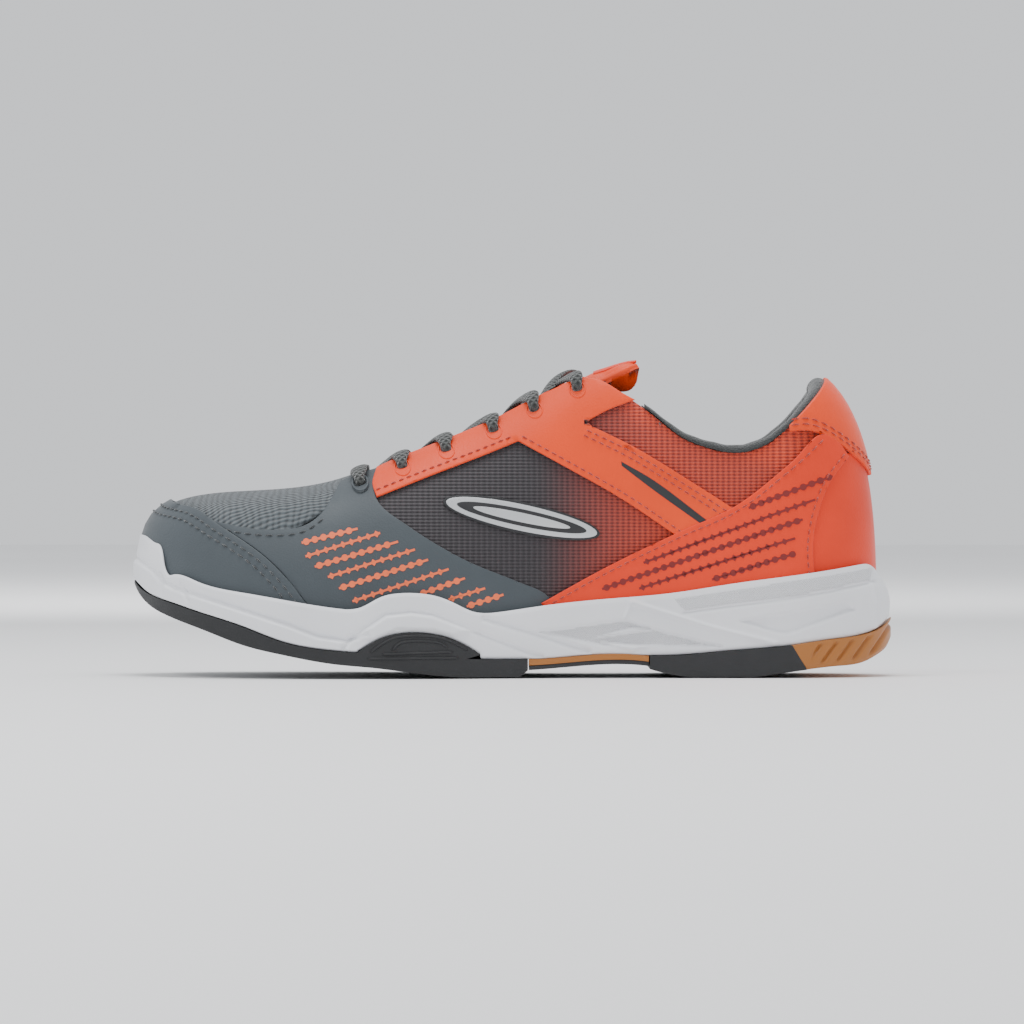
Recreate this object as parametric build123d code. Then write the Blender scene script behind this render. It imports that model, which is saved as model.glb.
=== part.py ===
"""Left court shoe for badminton and squash, in millimetres.

+X points to the toe, +Y to the wearer's left, which is the lateral side, and +Z up. The origin is
under the middle of the shoe, on the ground. The upper is a set of thin panels laid in layers on one
last: a feather line in plan, closed by a half ellipse at each end, with superelliptic sections above.
A place on the last is given by its side, its station and its height. The station is x along the
sides, and runs on round the toe and the heel to their middle.
"""
import math
import os

import numpy as np
from build123d import *

# Overall sizes
LENGTH = 290.0
TOE_POLE, TOE_REACH = 68.0, 73.5
HEEL_POLE, HEEL_REACH = -100.0, 38.5
TOE_END = TOE_POLE + TOE_REACH
HEEL_END = HEEL_POLE - HEEL_REACH
TOE_SWING = 9.0
SOLE_GROW = 5.6
CUP_GROW = 2.9
TOE_GROW, HEEL_GROW = 0.625, 1.16
WIDE = 160.0
TALL = 140.0
LATERAL, MEDIAL = 1, -1
SIDES = {"lateral": LATERAL, "medial": MEDIAL}

# Layers of the upper, as the least and greatest distance outside the last
MESH = (-0.8, 0.0)
FIRST_OVERLAY = (0.12, 0.8)
SECOND_OVERLAY = (0.92, 1.6)
THIRD_OVERLAY = (1.72, 2.4)
STIFFENER = (-1.9, -0.92)
TOE_LINING = (-2.8, -2.0)
VAMP_LINING = (-3.7, -2.9)
FOAM_START = -0.95
GLUE = 0.12
LINING_THICK = 0.8

# Sole stack
FLOOR_DROP = 0.3
STROBEL_THICK = 1.2
SOCKLINER_THICK = 4.2
SHANK_THICK = 1.5

# Lacing
LACE_DIAMETER = 3.0
EYELET_DIAMETER = 5.6
EYELET_DROP = 4.8
EYELET_STATIONS = [57.0, 41.0, 24.5, 6.5, -9.0, -25.0]
LACE_OVER = 3.6
LACE_UNDER = -3.7


def smooth(points):
    """A natural cubic spline through a few points of (position, value), as a function."""
    x, y = np.array(sorted(points), float).T
    h = np.diff(x)
    a, b = np.eye(len(x)), np.zeros(len(x))
    for i in range(1, len(x) - 1):
        a[i, i - 1:i + 2] = h[i - 1], 2 * (h[i - 1] + h[i]), h[i]
        b[i] = 6 * ((y[i + 1] - y[i]) / h[i] - (y[i] - y[i - 1]) / h[i - 1])
    m = np.linalg.solve(a, b)

    def at(t):
        t = np.clip(t, x[0], x[-1])
        i = np.clip(np.searchsorted(x, t) - 1, 0, len(x) - 2)
        p, q = (x[i + 1] - t) / h[i], (t - x[i]) / h[i]
        return p * y[i] + q * y[i + 1] + ((p**3 - p) * m[i] + (q**3 - q) * m[i + 1]) * h[i] ** 2 / 6

    return at


# The last: half widths of the feather line, its height, the crest line and how square a section is
HALF_WIDTH = {
    LATERAL: smooth([(-130, 32), (-100, 32), (-70, 32), (-40, 32.5), (-10, 36), (20, 42), (45, 46.6),
                     (68, 47.73),
                     (90, 46.7)]),
    MEDIAL: smooth([(-130, 32), (-100, 32), (-70, 31), (-40, 28.5), (-10, 29.5), (20, 37), (45, 45),
                    (68, 47.77),
                    (90, 46.3)]),
}
FEATHER = smooth([(-145, 25), (-120, 24.5), (-85, 22.8), (-50, 19), (-20, 15.5), (10, 13.6), (40, 13.8),
                  (75, 17),
                  (105, 22.6), (125, 28), (145, 34)])
CREST = smooth([(-145, 117), (-115, 117), (-75, 121), (-45, 122), (-24, 119.8), (-5, 107.9), (20, 93.7),
                (44, 83.4),
                (68, 74.2), (85, 71.2), (110, 70.3), (145, 70.5)])
SQUARE = smooth([(-138.5, 2.6), (-100, 3.2), (-50, 3.1), (-24, 2.75), (30, 2.7), (68, 2.7), (105, 3.3),
                 (141.5, 4.5)])

# Top edge of the upper along the station: collar, top corner of the eyestay, and throat
TOP_EDGE = smooth([(-138.5, 112), (-128, 111.3), (-119, 108.5), (-111, 103), (-105, 96.5), (-100, 90.8),
                   (-93, 86.6),
                   (-84.4, 84.9), (-74, 86.8), (-63.7, 91), (-53.6, 99), (-44, 106), (-34, 112), (-27, 113),
                   (-18, 109.3), (-5.7, 103), (7.8, 96), (27, 88), (43.5, 81.6), (60, 75.8), (68, 73.2)])
# Top edge of the sole's rim, seen from the side
BITE_LINE = smooth([(145, 44), (132, 39.2), (120, 36), (101, 31.5), (81, 28.1), (60, 25.2), (35, 24.2),
                    (11, 23.7),
                    (-8, 26.1), (-34, 29), (-60, 31.3), (-84, 34.9), (-107, 38), (-145, 43)])


def spine(x):
    """Sideways place of the middle of the toe box, which swings to the medial side."""
    return -TOE_SWING * np.clip((x - TOE_POLE) / TOE_REACH, 0, 1.05) ** 2


def place(side, station, angle):
    """Point of the last at a station and a section angle, from 0 at the feather line."""
    toe = np.clip((station - TOE_POLE) / TOE_REACH, 0, 1) * math.pi / 2
    heel = np.clip((HEEL_POLE - station) / HEEL_REACH, 0, 1) * math.pi / 2
    middle = np.clip(station, HEEL_POLE, TOE_POLE)
    forward = TOE_REACH * np.sin(toe) - HEEL_REACH * np.sin(heel)
    half = np.where(np.asarray(side) > 0, HALF_WIDTH[LATERAL](middle), HALF_WIDTH[MEDIAL](middle))
    power = 2 / SQUARE(station)
    inward = np.maximum(np.cos(angle), 0) ** power
    x = middle + forward * inward
    y = side * half * np.cos(toe) * np.cos(heel) * inward + spine(x)
    base = FEATHER(middle + forward)
    z = base + (CREST(x) - base) * np.maximum(np.sin(angle), 0) ** power
    return np.stack(np.broadcast_arrays(x, y, z), axis=-1)


def outward(side, station, angle):
    """Unit normal of the last, pointing out of the shoe."""
    ds, da = 0.2, 0.004
    angle = np.clip(angle, 0.02, math.pi / 2 - 0.02)
    along = place(side, station + ds, angle) - place(side, station - ds, angle)
    up = place(side, station, angle + da) - place(side, station, angle - da)
    n = -np.cross(along, up) * np.asarray(side)[..., None]
    return n / np.linalg.norm(n, axis=-1, keepdims=True)


def halve(low, high, is_above):
    """Where a rising test becomes true between two arrays, by halving."""
    for _ in range(34):
        middle = (low + high) / 2
        above = is_above(middle)
        low, high = np.where(above, low, middle), np.where(above, middle, high)
    return (low + high) / 2


def angle_at(side, station, z):
    """Section angle at which the last has the height z."""
    shape = np.broadcast(side, station, z).shape
    return halve(np.zeros(shape), np.full(shape, math.pi / 2), lambda a: place(side, station, a)[..., 2] > z)


def station_at(side, x, z):
    """Station of the point of the last that lies at x and z."""
    shape = np.broadcast(side, x, z).shape
    test = lambda s: place(side, s, angle_at(side, s, z))[..., 0] > x
    return halve(np.full(shape, HEEL_END), np.full(shape, TOE_END), test)


def on_last(side, station, z, distance):
    """Point at a distance outside the last, at a station and height."""
    side, station, z = np.broadcast_arrays(side, station, z)
    angle = angle_at(side, station, z)
    return place(side, station, angle) + outward(side, station, angle) * np.asarray(distance)[..., None]


def crown(x, y):
    """Height of the last above a point in plan, for the vamp and the instep."""
    across = y - spine(x)
    side = np.where(across >= 0, LATERAL, MEDIAL)
    near = np.minimum(x, TOE_POLE)
    v = np.abs(across) / np.where(side > 0, HALF_WIDTH[LATERAL](near), HALF_WIDTH[MEDIAL](near))
    u = np.clip((x - TOE_POLE) / TOE_REACH, 0, None)
    turn = np.arctan2(u, v)
    station = np.where(u > 0, TOE_POLE + TOE_REACH * turn / (math.pi / 2), x)
    base = FEATHER(np.where(u > 0, TOE_POLE + TOE_REACH * np.sin(turn), x))
    power = SQUARE(station)
    return base + (CREST(x) - base) * np.clip(1 - np.hypot(u, v) ** power, 0, 1) ** (1 / power)


def on_crown(x, y, distance):
    """Point at a distance outside the last, above a point in plan."""
    x, y = np.broadcast_arrays(np.asarray(x, float), np.asarray(y, float))
    step = 0.3
    slope_x = (crown(x + step, y) - crown(x - step, y)) / (2 * step)
    slope_y = (crown(x, y + step) - crown(x, y - step)) / (2 * step)
    n = np.stack([-slope_x, -slope_y, np.ones_like(x)], axis=-1)
    n /= np.linalg.norm(n, axis=-1, keepdims=True)
    return np.stack([x, y, crown(x, y)], axis=-1) + n * np.asarray(distance)[..., None]


def patch(points):
    rows = [[Vector(*map(float, p)) for p in row] for row in points]
    return Face.make_surface_from_array_of_points(rows, tol=0.02, min_deg=3, max_deg=3)


def panel(inner_points, outer_points):
    """Closed solid between two grids of points."""
    inner, outer = patch(inner_points), patch(outer_points)
    rims = [Face.make_surface_from_curves(*pair) for pair in zip(inner.edges(), outer.edges())]
    return Solid(Shell([inner, outer] + rims))


def side_grid(side, low, high, along=22, up=9):
    """Sides, stations and heights of a grid between two edges, each drawn as side-view points (x, z)."""
    u, v = np.linspace(0, 1, along), np.linspace(0, 1, up)
    ends = []
    for edge in (low, high):
        x, z = np.array(edge, float).T
        reach = np.concatenate([[0], np.cumsum(np.hypot(np.diff(x), np.diff(z)))])
        reach /= reach[-1]
        ends.append((smooth(list(zip(reach, x)))(u), smooth(list(zip(reach, z)))(u)))
    (x0, z0), (x1, z1) = ends
    x = x0[:, None] * (1 - v) + x1[:, None] * v
    z = z0[:, None] * (1 - v) + z1[:, None] * v
    return side, station_at(LATERAL, x, z), z


def side_panel(side, low, high, layer, **count):
    side, station, z = side_grid(side, low, high, **count)
    return panel(*[on_last(side, station, z, np.full(z.shape, d)) for d in layer])


def round_grid(end, reach, low, high, around=41, up=9):
    """A grid that runs from the lateral side round the toe or the heel to the medial side."""
    q = np.linspace(1, -1, around)
    side = np.where(q >= 0, LATERAL, MEDIAL)
    station = end - math.copysign(reach, end) * np.abs(q)
    v = np.linspace(0, 1, up)
    z = low(station)[:, None] * (1 - v) + high(station)[:, None] * v
    return side[:, None] * np.ones_like(z), station[:, None] * np.ones_like(z), z


def round_panel(end, reach, low, high, layer, **count):
    side, station, z = round_grid(end, reach, low, high, **count)
    return panel(*[on_last(side, station, z, np.full(z.shape, d)) for d in layer])


def crown_panel(x, half_width, inner, outer, across=13):
    """Panel over the instep or vamp, between two distances given as functions of (x, share of half width)."""
    share = np.linspace(-1, 1, across)
    xs = x[:, None] * np.ones_like(share)
    ys = spine(xs) + half_width(x)[:, None] * share
    return panel(*[on_crown(xs, ys, d(xs, share * np.ones_like(xs))) for d in (inner, outer)])


# Sole: side-view profiles cut to the plan outline

def outline(grow):
    """Closed plan face of the feather line, grown outwards."""
    points = []
    for side in (LATERAL, MEDIAL):
        for t in np.linspace(0, math.pi / 2, 9)[:-1]:
            points.append((side, HEEL_POLE - (HEEL_REACH + HEEL_GROW * grow) * math.cos(t), math.sin(t)))
        for x in np.linspace(HEEL_POLE, TOE_POLE, 11)[:-1]:
            points.append((side, x, 1.0))
        for t in np.linspace(0, math.pi / 2, 11):
            points.append((side, TOE_POLE + (TOE_REACH + TOE_GROW * grow) * math.sin(t), math.cos(t)))
    loops = {LATERAL: [], MEDIAL: []}
    for side, x, share in points:
        half = float(HALF_WIDTH[side](np.clip(x, HEEL_POLE, TOE_POLE))) + grow
        loops[side].append((x, side * half * share + float(spine(x))))
    ring = loops[LATERAL] + loops[MEDIAL][-2:0:-1]
    return Face(Wire([Spline(*[Vector(x, y) for x, y in ring], periodic=True)]))


def column(grow):
    return extrude(outline(grow), amount=TALL, dir=(0, 0, 1))


def side_face(top, bottom):
    """Face in the XZ plane between a top and a bottom line, each a list of stretches that run to +X."""
    lines = []
    for stretch in top + bottom:
        points = [Vector(x, 0, z) for x, z in stretch]
        lines.append(Line(*points) if len(points) == 2 else Spline(*points))
    for (x0, z0), (x1, z1) in ((top[0][0], bottom[0][0]), (top[-1][-1], bottom[-1][-1])):
        if math.hypot(x1 - x0, z1 - z0) > 1e-6:
            lines.append(Line((x0, 0, z0), (x1, 0, z1)))
    return Face(Wire(lines))


def bar(top, bottom, low_y=-WIDE / 2, high_y=WIDE / 2):
    """Side-view profile carried across the shoe."""
    solid = extrude(side_face(top, bottom), amount=WIDE, dir=(0, 1, 0))
    solid = solid.moved(Location((0, low_y, 0)))
    if high_y - low_y < WIDE:
        solid = solid & Box(3 * LENGTH, high_y - low_y, 3 * TALL).moved(Location((0, (high_y + low_y) / 2,
                                                                                  0)))
    return solid


def sampled(curve, start, end, count=12, shift=0.0):
    return [(float(x), float(curve(x)) + shift) for x in np.linspace(start, end, count)]


SOLE_LINE_REAR = [(-144.7, 25.2), (-141.2, 20.5), (-137, 16.8), (-118.7, 13.9), (-105.3, 12.0),
                  (-83.6, 10.1), (-63, 8.3), (-49, 8.2)]
SOLE_LINE_ARCH = [(-49, 8.2), (-31, 8.5), (-15, 7.2), (-4, 6.9)]
SOLE_LINE_FRONT = [(-4, 6.9), (30, 7.6), (58.4, 9.5), (73.3, 10.9), (86.3, 13.5), (100.8, 18.9),
                   (120.4, 25.0), (131.1, 28.4),
                   (139.9, 31.9), (144.7, 36.1)]
RIM_LINE = [(-144.7, 32), (-142, 37.5), (-138.6, 41.6), (-107.1, 38.0), (-83.6, 34.9), (-60, 31.3),
            (-34, 29.0), (-8, 26.1), (11, 23.7),
            (35, 24.2), (60, 25.2), (81, 28.1), (101, 31.5), (120, 35.9), (130.2, 38.4)]
BUMPER_LINE = [(130.2, 38.4), (132.4, 40.6), (133.6, 45.4), (135.6, 48.5), (139.3, 51.0), (141.4, 52.8)]
BUMP_TOP = [(11, 22), (20.6, 27.3), (26.3, 29.8), (35.1, 31.4), (43.9, 31.3), (49.6, 30.0), (61, 23)]
ARCH_TOP = [(11.8, 8.6), (21.8, 14.3), (29.4, 16.4), (36, 17.0), (43.9, 16.4), (48.5, 15.1), (58.4, 9.2)]
HEEL_FLAT = ((-92.0, 0.0), (-66.0, 0.0))
BALL_FLAT = ((-3.0, 0.0), (18.0, 0.0))
GUM_TOP, GUM_BOTTOM = (-105.3, 12.0), (-111.5, 3.0)
BUMP_INSIDE = 30.0
CUP_WALL = 0.9
OUTRIGGER_INSIDE = 36.0


def outrigger_arch(gap):
    """Room for the rubber that wraps up the lateral side at the ball."""
    top, bottom = [[(x, z - gap) for x, z in line] for line in (ARCH_TOP,
                                                                [ARCH_TOP[0], (35, 5), ARCH_TOP[-1]])]
    return bar([top], [bottom], OUTRIGGER_INSIDE + gap, WIDE / 2)


def midsole():
    top = [RIM_LINE, BUMPER_LINE, [BUMPER_LINE[-1], (144.7, 41)]]
    solid = bar(top, [SOLE_LINE_REAR, SOLE_LINE_ARCH, SOLE_LINE_FRONT]) & column(SOLE_GROW)
    bump = bar([BUMP_TOP], [[(11, 22), (36, 20), (61, 23)]], BUMP_INSIDE, WIDE / 2) & column(SOLE_GROW)
    pocket = outrigger_arch(0.0) - column(CUP_GROW + CUP_WALL)
    floor = sampled(FEATHER, -145, 145, 14, -FLOOR_DROP)
    cavity = bar([[(-145, TALL / 2), (145, TALL / 2)]], [floor]) & column(CUP_GROW)
    return solid + bump - pocket - cavity


def under_midsole():
    """Everything below the midsole, with room for the glue."""
    lines = [[(x, z - GLUE) for x, z in line] for line in (SOLE_LINE_REAR, SOLE_LINE_ARCH, SOLE_LINE_FRONT)]
    return bar(lines, [[(lines[0][0][0], -TALL), (lines[-1][-1][0], -TALL)]])


def sole_piece(bottom, grow=SOLE_GROW):
    """Piece of the outsole above a bottom line, up to the midsole."""
    top = [[(bottom[0][0][0], TALL / 2), (bottom[-1][-1][0], TALL / 2)]]
    return bar(top, bottom) & under_midsole() & column(grow)


def outsole_forefoot():
    tread = sole_piece([[(-6.0, 2.6), BALL_FLAT[0]], list(BALL_FLAT),
                        [BALL_FLAT[1], (36, 1.6), (52, 3.7), (66, 5.0), (86.3, 8.6), (100.8, 12.0),
                         (115.6, 17.4), (130.2, 22.7),
                         (138.5, 27.1), (142.4, 31.1), (144.6, 34.8)]])
    arch = outrigger_arch(GLUE)
    wrap = (arch & column(SOLE_GROW)) - column(CUP_GROW + CUP_WALL + GLUE)
    return tread + wrap


def outsole_rearfoot():
    gap = 0.3
    return sole_piece([[(GUM_TOP[0] + gap, GUM_TOP[1] + 1), (GUM_BOTTOM[0] + gap, 2.6)],
                       [(GUM_BOTTOM[0] + gap, 2.6), HEEL_FLAT[0]],
                       list(HEEL_FLAT), [HEEL_FLAT[1], (-59.9, 0.9), (-52.0, 2.9)]])


def outsole_heel_gum():
    return sole_piece([[(-144.9, 14.5), (-141, 9.0), (-134.4, 5.3), (-123, 3.9), (GUM_BOTTOM[0], 2.6)],
                       [(GUM_BOTTOM[0], 2.6), (GUM_TOP[0], GUM_TOP[1] + 1)]])


def outsole_arch_gum():
    return sole_piece([[(-51.6, 5.7), (-31, 6.2), (-15, 4.9), (-6.4, 4.4)]], SOLE_GROW - 0.6)


def torsion_shank():
    bottom = [(-51.6, 4.0), (-31, 4.5), (-15, 3.2), (-6.4, 2.6)]
    top = [(x, z + SHANK_THICK) for x, z in bottom]
    return bar([top], [bottom]) & column(SOLE_GROW - 1.4)


def floor_sheet(grow, low, high):
    """Sheet that follows the floor of the sole, between two heights above the feather line."""
    return bar([sampled(FEATHER, -145, 145, 14, high)], [sampled(FEATHER, -145, 145, 14, low)]) & column(grow)


# Upper

def below_bite(station):
    return np.maximum(BITE_LINE(station) - 5, FEATHER(station) + 0.4)


def feather_start(station):
    x = place(LATERAL, station, np.zeros_like(station))[..., 0]
    return FEATHER(x) + 0.25


CAP_EDGE = smooth([(76, 27.5), (84, 36.5), (92, 44.0), (101, 51.5), (112, 58.5), (125, 63.5), (141.5, 65.6)])


def side_panels(name, side):
    """The panels that come once on each side."""
    low = lambda *xs: [(x, float(below_bite(x))) for x in xs]
    yield "vamp_overlay", side_panel(
        side, low(84, 60, 35, 10, -14), [(118, 61.5), (104, 56.6), (86, 55.6), (66, 60), (44, 60),
                                         (20, 46), (-2, 35.8), (-14, 30)],
        FIRST_OVERLAY, along=30)
    yield "eyestay", side_panel(
        side, [(53, 65), (30, 73.6), (12, 80.5), (-4, 86.4), (-24, 91.5), (-44, 96)],
        [(53, 78.2), (43.5, 81.4), (27, 87.8), (7.8, 95.8), (-5.7, 102.8), (-18, 109), (-28, 112.6),
         (-44, 105.6)], SECOND_OVERLAY,
        along=30)
    yield "quarter_strap", side_panel(
        side, [(-1, 88), (-20, 78.5), (-42, 66), (-66, 51)], [(-10, 91.5), (-30, 92), (-55, 79.5),
                                                              (-84, 61)], FIRST_OVERLAY)
    yield "heel_wing", side_panel(
        side, low(-14, -40, -70, -95, -113), [(-14, 30.5), (-40, 43), (-63, 54.4), (-84.4, 64.3),
                                              (-104, 79), (-119, 88)],
        THIRD_OVERLAY, along=26)
    for kind, layer, front, drop in (("quarter_mesh", MESH, 52.0, 0.4),
                                     ("eyestay_lining", STIFFENER, 50.0, 0.9)):
        rear = HEEL_END if kind == "quarter_mesh" else -44.0
        station = np.linspace(rear, front, 46 if kind == "quarter_mesh" else 30)
        top = TOP_EDGE(station) - drop
        bottom = feather_start(station) if kind == "quarter_mesh" else top - 15 + 2 * (station > 40)
        z = bottom[:, None] + (top - bottom)[:, None] * np.linspace(0, 1, 11)
        s = station[:, None] * np.ones_like(z)
        yield kind, panel(*[on_last(side, s, z, np.full(z.shape, d)) for d in layer])
    yield "side_badge", side_panel(
        side, [(24, 61), (16, 57.3), (0, 53.6), (-18, 52.4), (-31, 55)],
        [(24, 65), (14, 67.2), (-4, 66), (-20, 62.8), (-31, 58.5)],
        FIRST_OVERLAY, along=20, up=7)


def toe_panels():
    yield "toe_cap", round_panel(TOE_END, TOE_END - 77, below_bite, CAP_EDGE, SECOND_OVERLAY, around=49,
                                 up=11)
    puff_top = lambda s: CAP_EDGE(s) - 2
    yield "toe_puff", round_panel(TOE_END, TOE_END - 84, feather_start, puff_top, STIFFENER, around=45)
    lining_top = lambda s: 58 + 6.5 * np.clip((s - 60) / (TOE_END - 60), 0, 1)
    yield "toe_lining", round_panel(TOE_END, TOE_END - 54, feather_start, lining_top, TOE_LINING, around=61)
    wide = smooth([(56, 24), (70, 33), (85, 38), (100, 34), (112, 26), (124, 15)])
    flat = lambda value: lambda x, share: np.full(x.shape, value)
    yield "vamp_mesh", crown_panel(np.linspace(67.5, 124, 18), wide, flat(MESH[0]), flat(MESH[1]))
    yield "vamp_lining", crown_panel(np.linspace(67.5, 120, 18), wide, flat(VAMP_LINING[0]),
                                     flat(VAMP_LINING[1]))


FOAM_FRONT = 62.0
FOAM_DEEP = 29.0
FOAM_FADE = 26.0
FOAM_GLUE = 0.9


def foam_thickness(station, share):
    """Foam under the collar: thin at its lower edge and at its front ends."""
    fade = np.clip((-FOAM_FRONT - station) / FOAM_FADE, 0, 1)
    fade = fade * fade * (3 - 2 * fade)
    return 1.2 + (2.0 + 2.6 * fade) * np.sin(math.pi * (0.06 + 0.72 * share)) ** 1.2


def foam_grid():
    return round_grid(HEEL_END, -HEEL_END - FOAM_FRONT, lambda s: TOP_EDGE(s) - FOAM_DEEP,
                      lambda s: TOP_EDGE(s) - 1.0, around=61, up=17)


def heel_panels():
    yield "heel_foxing", round_panel(
        HEEL_END, -HEEL_END - 107, below_bite, smooth([(-138.5, 80), (-125, 84), (-115, 83), (-107, 77)]),
        FIRST_OVERLAY)
    tab_low = smooth([(-138.5, 76), (-128, 82), (-117, 89.5), (-108, 93.6), (-102, 91.5)])
    yield "back_tab", round_panel(HEEL_END, -HEEL_END - 103.5, tab_low, lambda s: TOP_EDGE(s) - 0.2,
                                  THIRD_OVERLAY)
    counter_top = smooth([(-138.5, 72), (-120, 67), (-100, 57), (-76, 46)])
    yield "heel_counter", round_panel(HEEL_END, -HEEL_END - 76, feather_start, counter_top, STIFFENER)
    side, station, z = foam_grid()
    share = np.linspace(0, 1, z.shape[1]) * np.ones_like(z)
    inner = FOAM_START - foam_thickness(station, share)
    yield "collar_foam", panel(on_last(side, station, z, inner),
                               on_last(side, station, z, np.full(z.shape, FOAM_START)))
    lining_low = lambda s: feather_start(s) + 1.6
    side, station, z = round_grid(HEEL_END, -HEEL_END - 48, lining_low, lambda s: TOP_EDGE(s) - 1.0,
                                  around=61, up=15)
    share = 1 - (TOP_EDGE(station) - 1.0 - z) / (FOAM_DEEP - 1.0)
    share = (share + np.sqrt(share**2 + 0.02)) / 2
    outer = FOAM_START - foam_thickness(station, share) - FOAM_GLUE
    yield "collar_lining", panel(on_last(side, station, z, outer - LINING_THICK),
                                 on_last(side, station, z, outer))
    yield "collar_roll", collar_roll()


def collar_roll():
    """Rolled edge over the top of the collar foam."""
    q = np.linspace(1, -1, 61)
    side = np.where(q >= 0, LATERAL, MEDIAL)
    station = HEEL_END + (-HEEL_END - 50) * np.abs(q)
    z = TOP_EDGE(station)
    angle = angle_at(side, station, z)
    foot, normal = place(side, station, angle), outward(side, station, angle)
    rise = place(side, station, angle + 0.004) - foot
    rise /= np.linalg.norm(rise, axis=-1, keepdims=True)
    reach = (foam_thickness(station, np.ones_like(station)) + 1.9) / 2
    grids = []
    for thick in (0.0, LINING_THICK):
        rows = []
        for turn in np.linspace(0.06, math.pi - 0.06, 9):
            side_step = -reach + (reach + thick) * math.cos(turn)
            lift = 0.15 + (0.55 * reach + thick) * math.sin(turn)
            rows.append(foot + normal * side_step[:, None] + rise * lift[:, None])
        grids.append(np.stack(rows, axis=1))
    return panel(*grids)


# Tongue, as layers below the last, sewn in at its toe end

TONGUE_ROOT, TONGUE_TIP = 66.0, -48.5
TONGUE_HALF = smooth([(66, 13), (50, 18.5), (20, 22), (-15, 21.5), (-34, 18.5), (-48.5, 15)])
TONGUE_SINK = smooth([(66, 5.4), (50, 6.4), (0, 6.4), (-22, 6.2), (-38, 3.6), (-48.5, 2.4)])
TONGUE_LAYERS = {"tongue_face": (0.0, 0.9), "tongue_foam": (1.0, 4.6), "tongue_lining": (4.7, 5.5)}


def tongue_panels():
    stations = np.linspace(TONGUE_ROOT, TONGUE_TIP, 26)
    for name, (top, bottom) in TONGUE_LAYERS.items():
        def depth(extra):
            return lambda x, share: -(TONGUE_SINK(x) + 1.4 * (1 - share**2) + extra)
        yield name, crown_panel(stations, TONGUE_HALF, depth(bottom), depth(top))


# Lacing: one lace, held by the eyelets, and its two tails inside the shoe

def eyelet(side, row, distance=0.0):
    """Middle of an eyelet, or a point straight out from it."""
    station = np.array(EYELET_STATIONS[row])
    return on_last(side, station, TOP_EDGE(station) - EYELET_DROP, np.array(distance, float))


def throat(side, row, distance):
    """Point beside the throat's edge, next to an eyelet."""
    station = np.array(EYELET_STATIONS[row])
    return on_last(side, station, TOP_EDGE(station), np.array(distance, float))


def eyelet_hole(side, row):
    low, high = Vector(*eyelet(side, row, -6.0)), Vector(*eyelet(side, row, 6.0))
    plane = Plane(origin=low, z_dir=high - low)
    return extrude(plane * Circle(EYELET_DIAMETER / 2), amount=(high - low).length)


def crossing(start_row, end_row, lift):
    """Middle of a strand over the tongue."""
    x = (EYELET_STATIONS[start_row] + EYELET_STATIONS[end_row]) / 2
    top = float(crown(np.array(x), np.array(0.0))) - float(TONGUE_SINK(x)) - 1.4
    return np.array([x, 0.0, top + LACE_DIAMETER / 2 + 1.2 + lift])


def strand(start_side, start_row, end_row, over_first, lift):
    """Points of one crossing, from beside one hole to beside the opposite one."""
    first, last = (LACE_OVER, LACE_UNDER) if over_first else (LACE_UNDER, LACE_OVER)
    other = -start_side
    return [eyelet(start_side, start_row, first), throat(start_side, start_row, first),
            crossing(start_row, end_row, lift),
            throat(other, end_row, last), eyelet(other, end_row, last)]


def lace_route():
    """Route of the held part, from under the lateral top eyelet to under the medial one."""
    top = len(EYELET_STATIONS) - 1
    points = [tail_start(LATERAL), eyelet(LATERAL, top, LACE_UNDER)]
    side = LATERAL
    for row in range(top, 0, -1):
        points += strand(side, row, row - 1, True, 0.0)
        side = -side
    bar_middle = crossing(0, 0, 0.3)
    points += [eyelet(side, 0, LACE_OVER), throat(side, 0, LACE_OVER), bar_middle]
    points += [throat(-side, 0, LACE_OVER), eyelet(-side, 0, LACE_OVER)]
    side = -side
    for row in range(top):
        points += strand(side, row, row + 1, False, LACE_DIAMETER + 0.6)
        side = -side
    return points + [eyelet(side, top, LACE_UNDER), tail_start(side)]


TAIL_DROP = [(-32, 96, -3.6), (-36, 85, -4.8), (-41, 69, -6.6), (-44, 53, -8.6)]
TAIL_FLOOR = {
    LATERAL: [(-41, 18.5, 38), (-31, 16.5, 28.6), (-14, 16.0, 24.4), (6, 19.0, 22.4), (27, 22.5, 22.0),
              (47, 21.0, 22.6),
              (64, 15.5, 24.6)],
    MEDIAL: [(-40, -16.6, 38), (-30, -14.0, 28.3), (-13, -12.0, 24.1), (7, -11.5, 22.3), (28, -15.0, 22.0),
             (47, -19.0, 22.6),
             (65, -18.5, 24.8)],
}


def tail_route(side):
    """Route of a tail: down inside the quarter beside the tongue, then along the insole to the toe."""
    drop = [on_last(side, np.array(s), np.array(z), np.array(d)) for s, z, d in TAIL_DROP]
    return [tail_start(side)] + drop + TAIL_FLOOR[side]


def tail_start(side):
    """Where the held part of the lace ends and a tail begins, halfway from the top eyelet down."""
    first = on_last(side, *[np.array(v) for v in TAIL_DROP[0]])
    return (eyelet(side, len(EYELET_STATIONS) - 1, LACE_UNDER) + first) / 2


AGLET_LENGTH = 22.0
AGLET_DIAMETER = 3.8


def cord_tube(points, label):
    """Round tube along straight runs joined by tangent arcs, as large as the runs allow."""
    points = [Vector(*map(float, p)) for p in points]
    points = [p for i, p in enumerate(points) if i == 0 or (p - points[i - 1]).length > 0.5]
    radii = []
    for before, here, after in zip(points, points[1:], points[2:]):
        turn = math.radians((here - before).get_angle(after - here))
        shorter = min((here - before).length, (after - here).length)
        radii.append(0.45 * shorter / math.tan(turn / 2))
    path = Wire(FilletPolyline(*points, radius=radii).edges())
    start = Plane(origin=path @ 0, z_dir=path % 0)
    tube = sweep(start * Circle(LACE_DIAMETER / 2), path=path)
    share = tube.volume / (math.pi * LACE_DIAMETER**2 / 4 * path.length)
    print(label, "length", round(path.length, 1), "least radius", round(min(radii), 1), "volume share",
          round(share, 4))
    return tube


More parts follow.
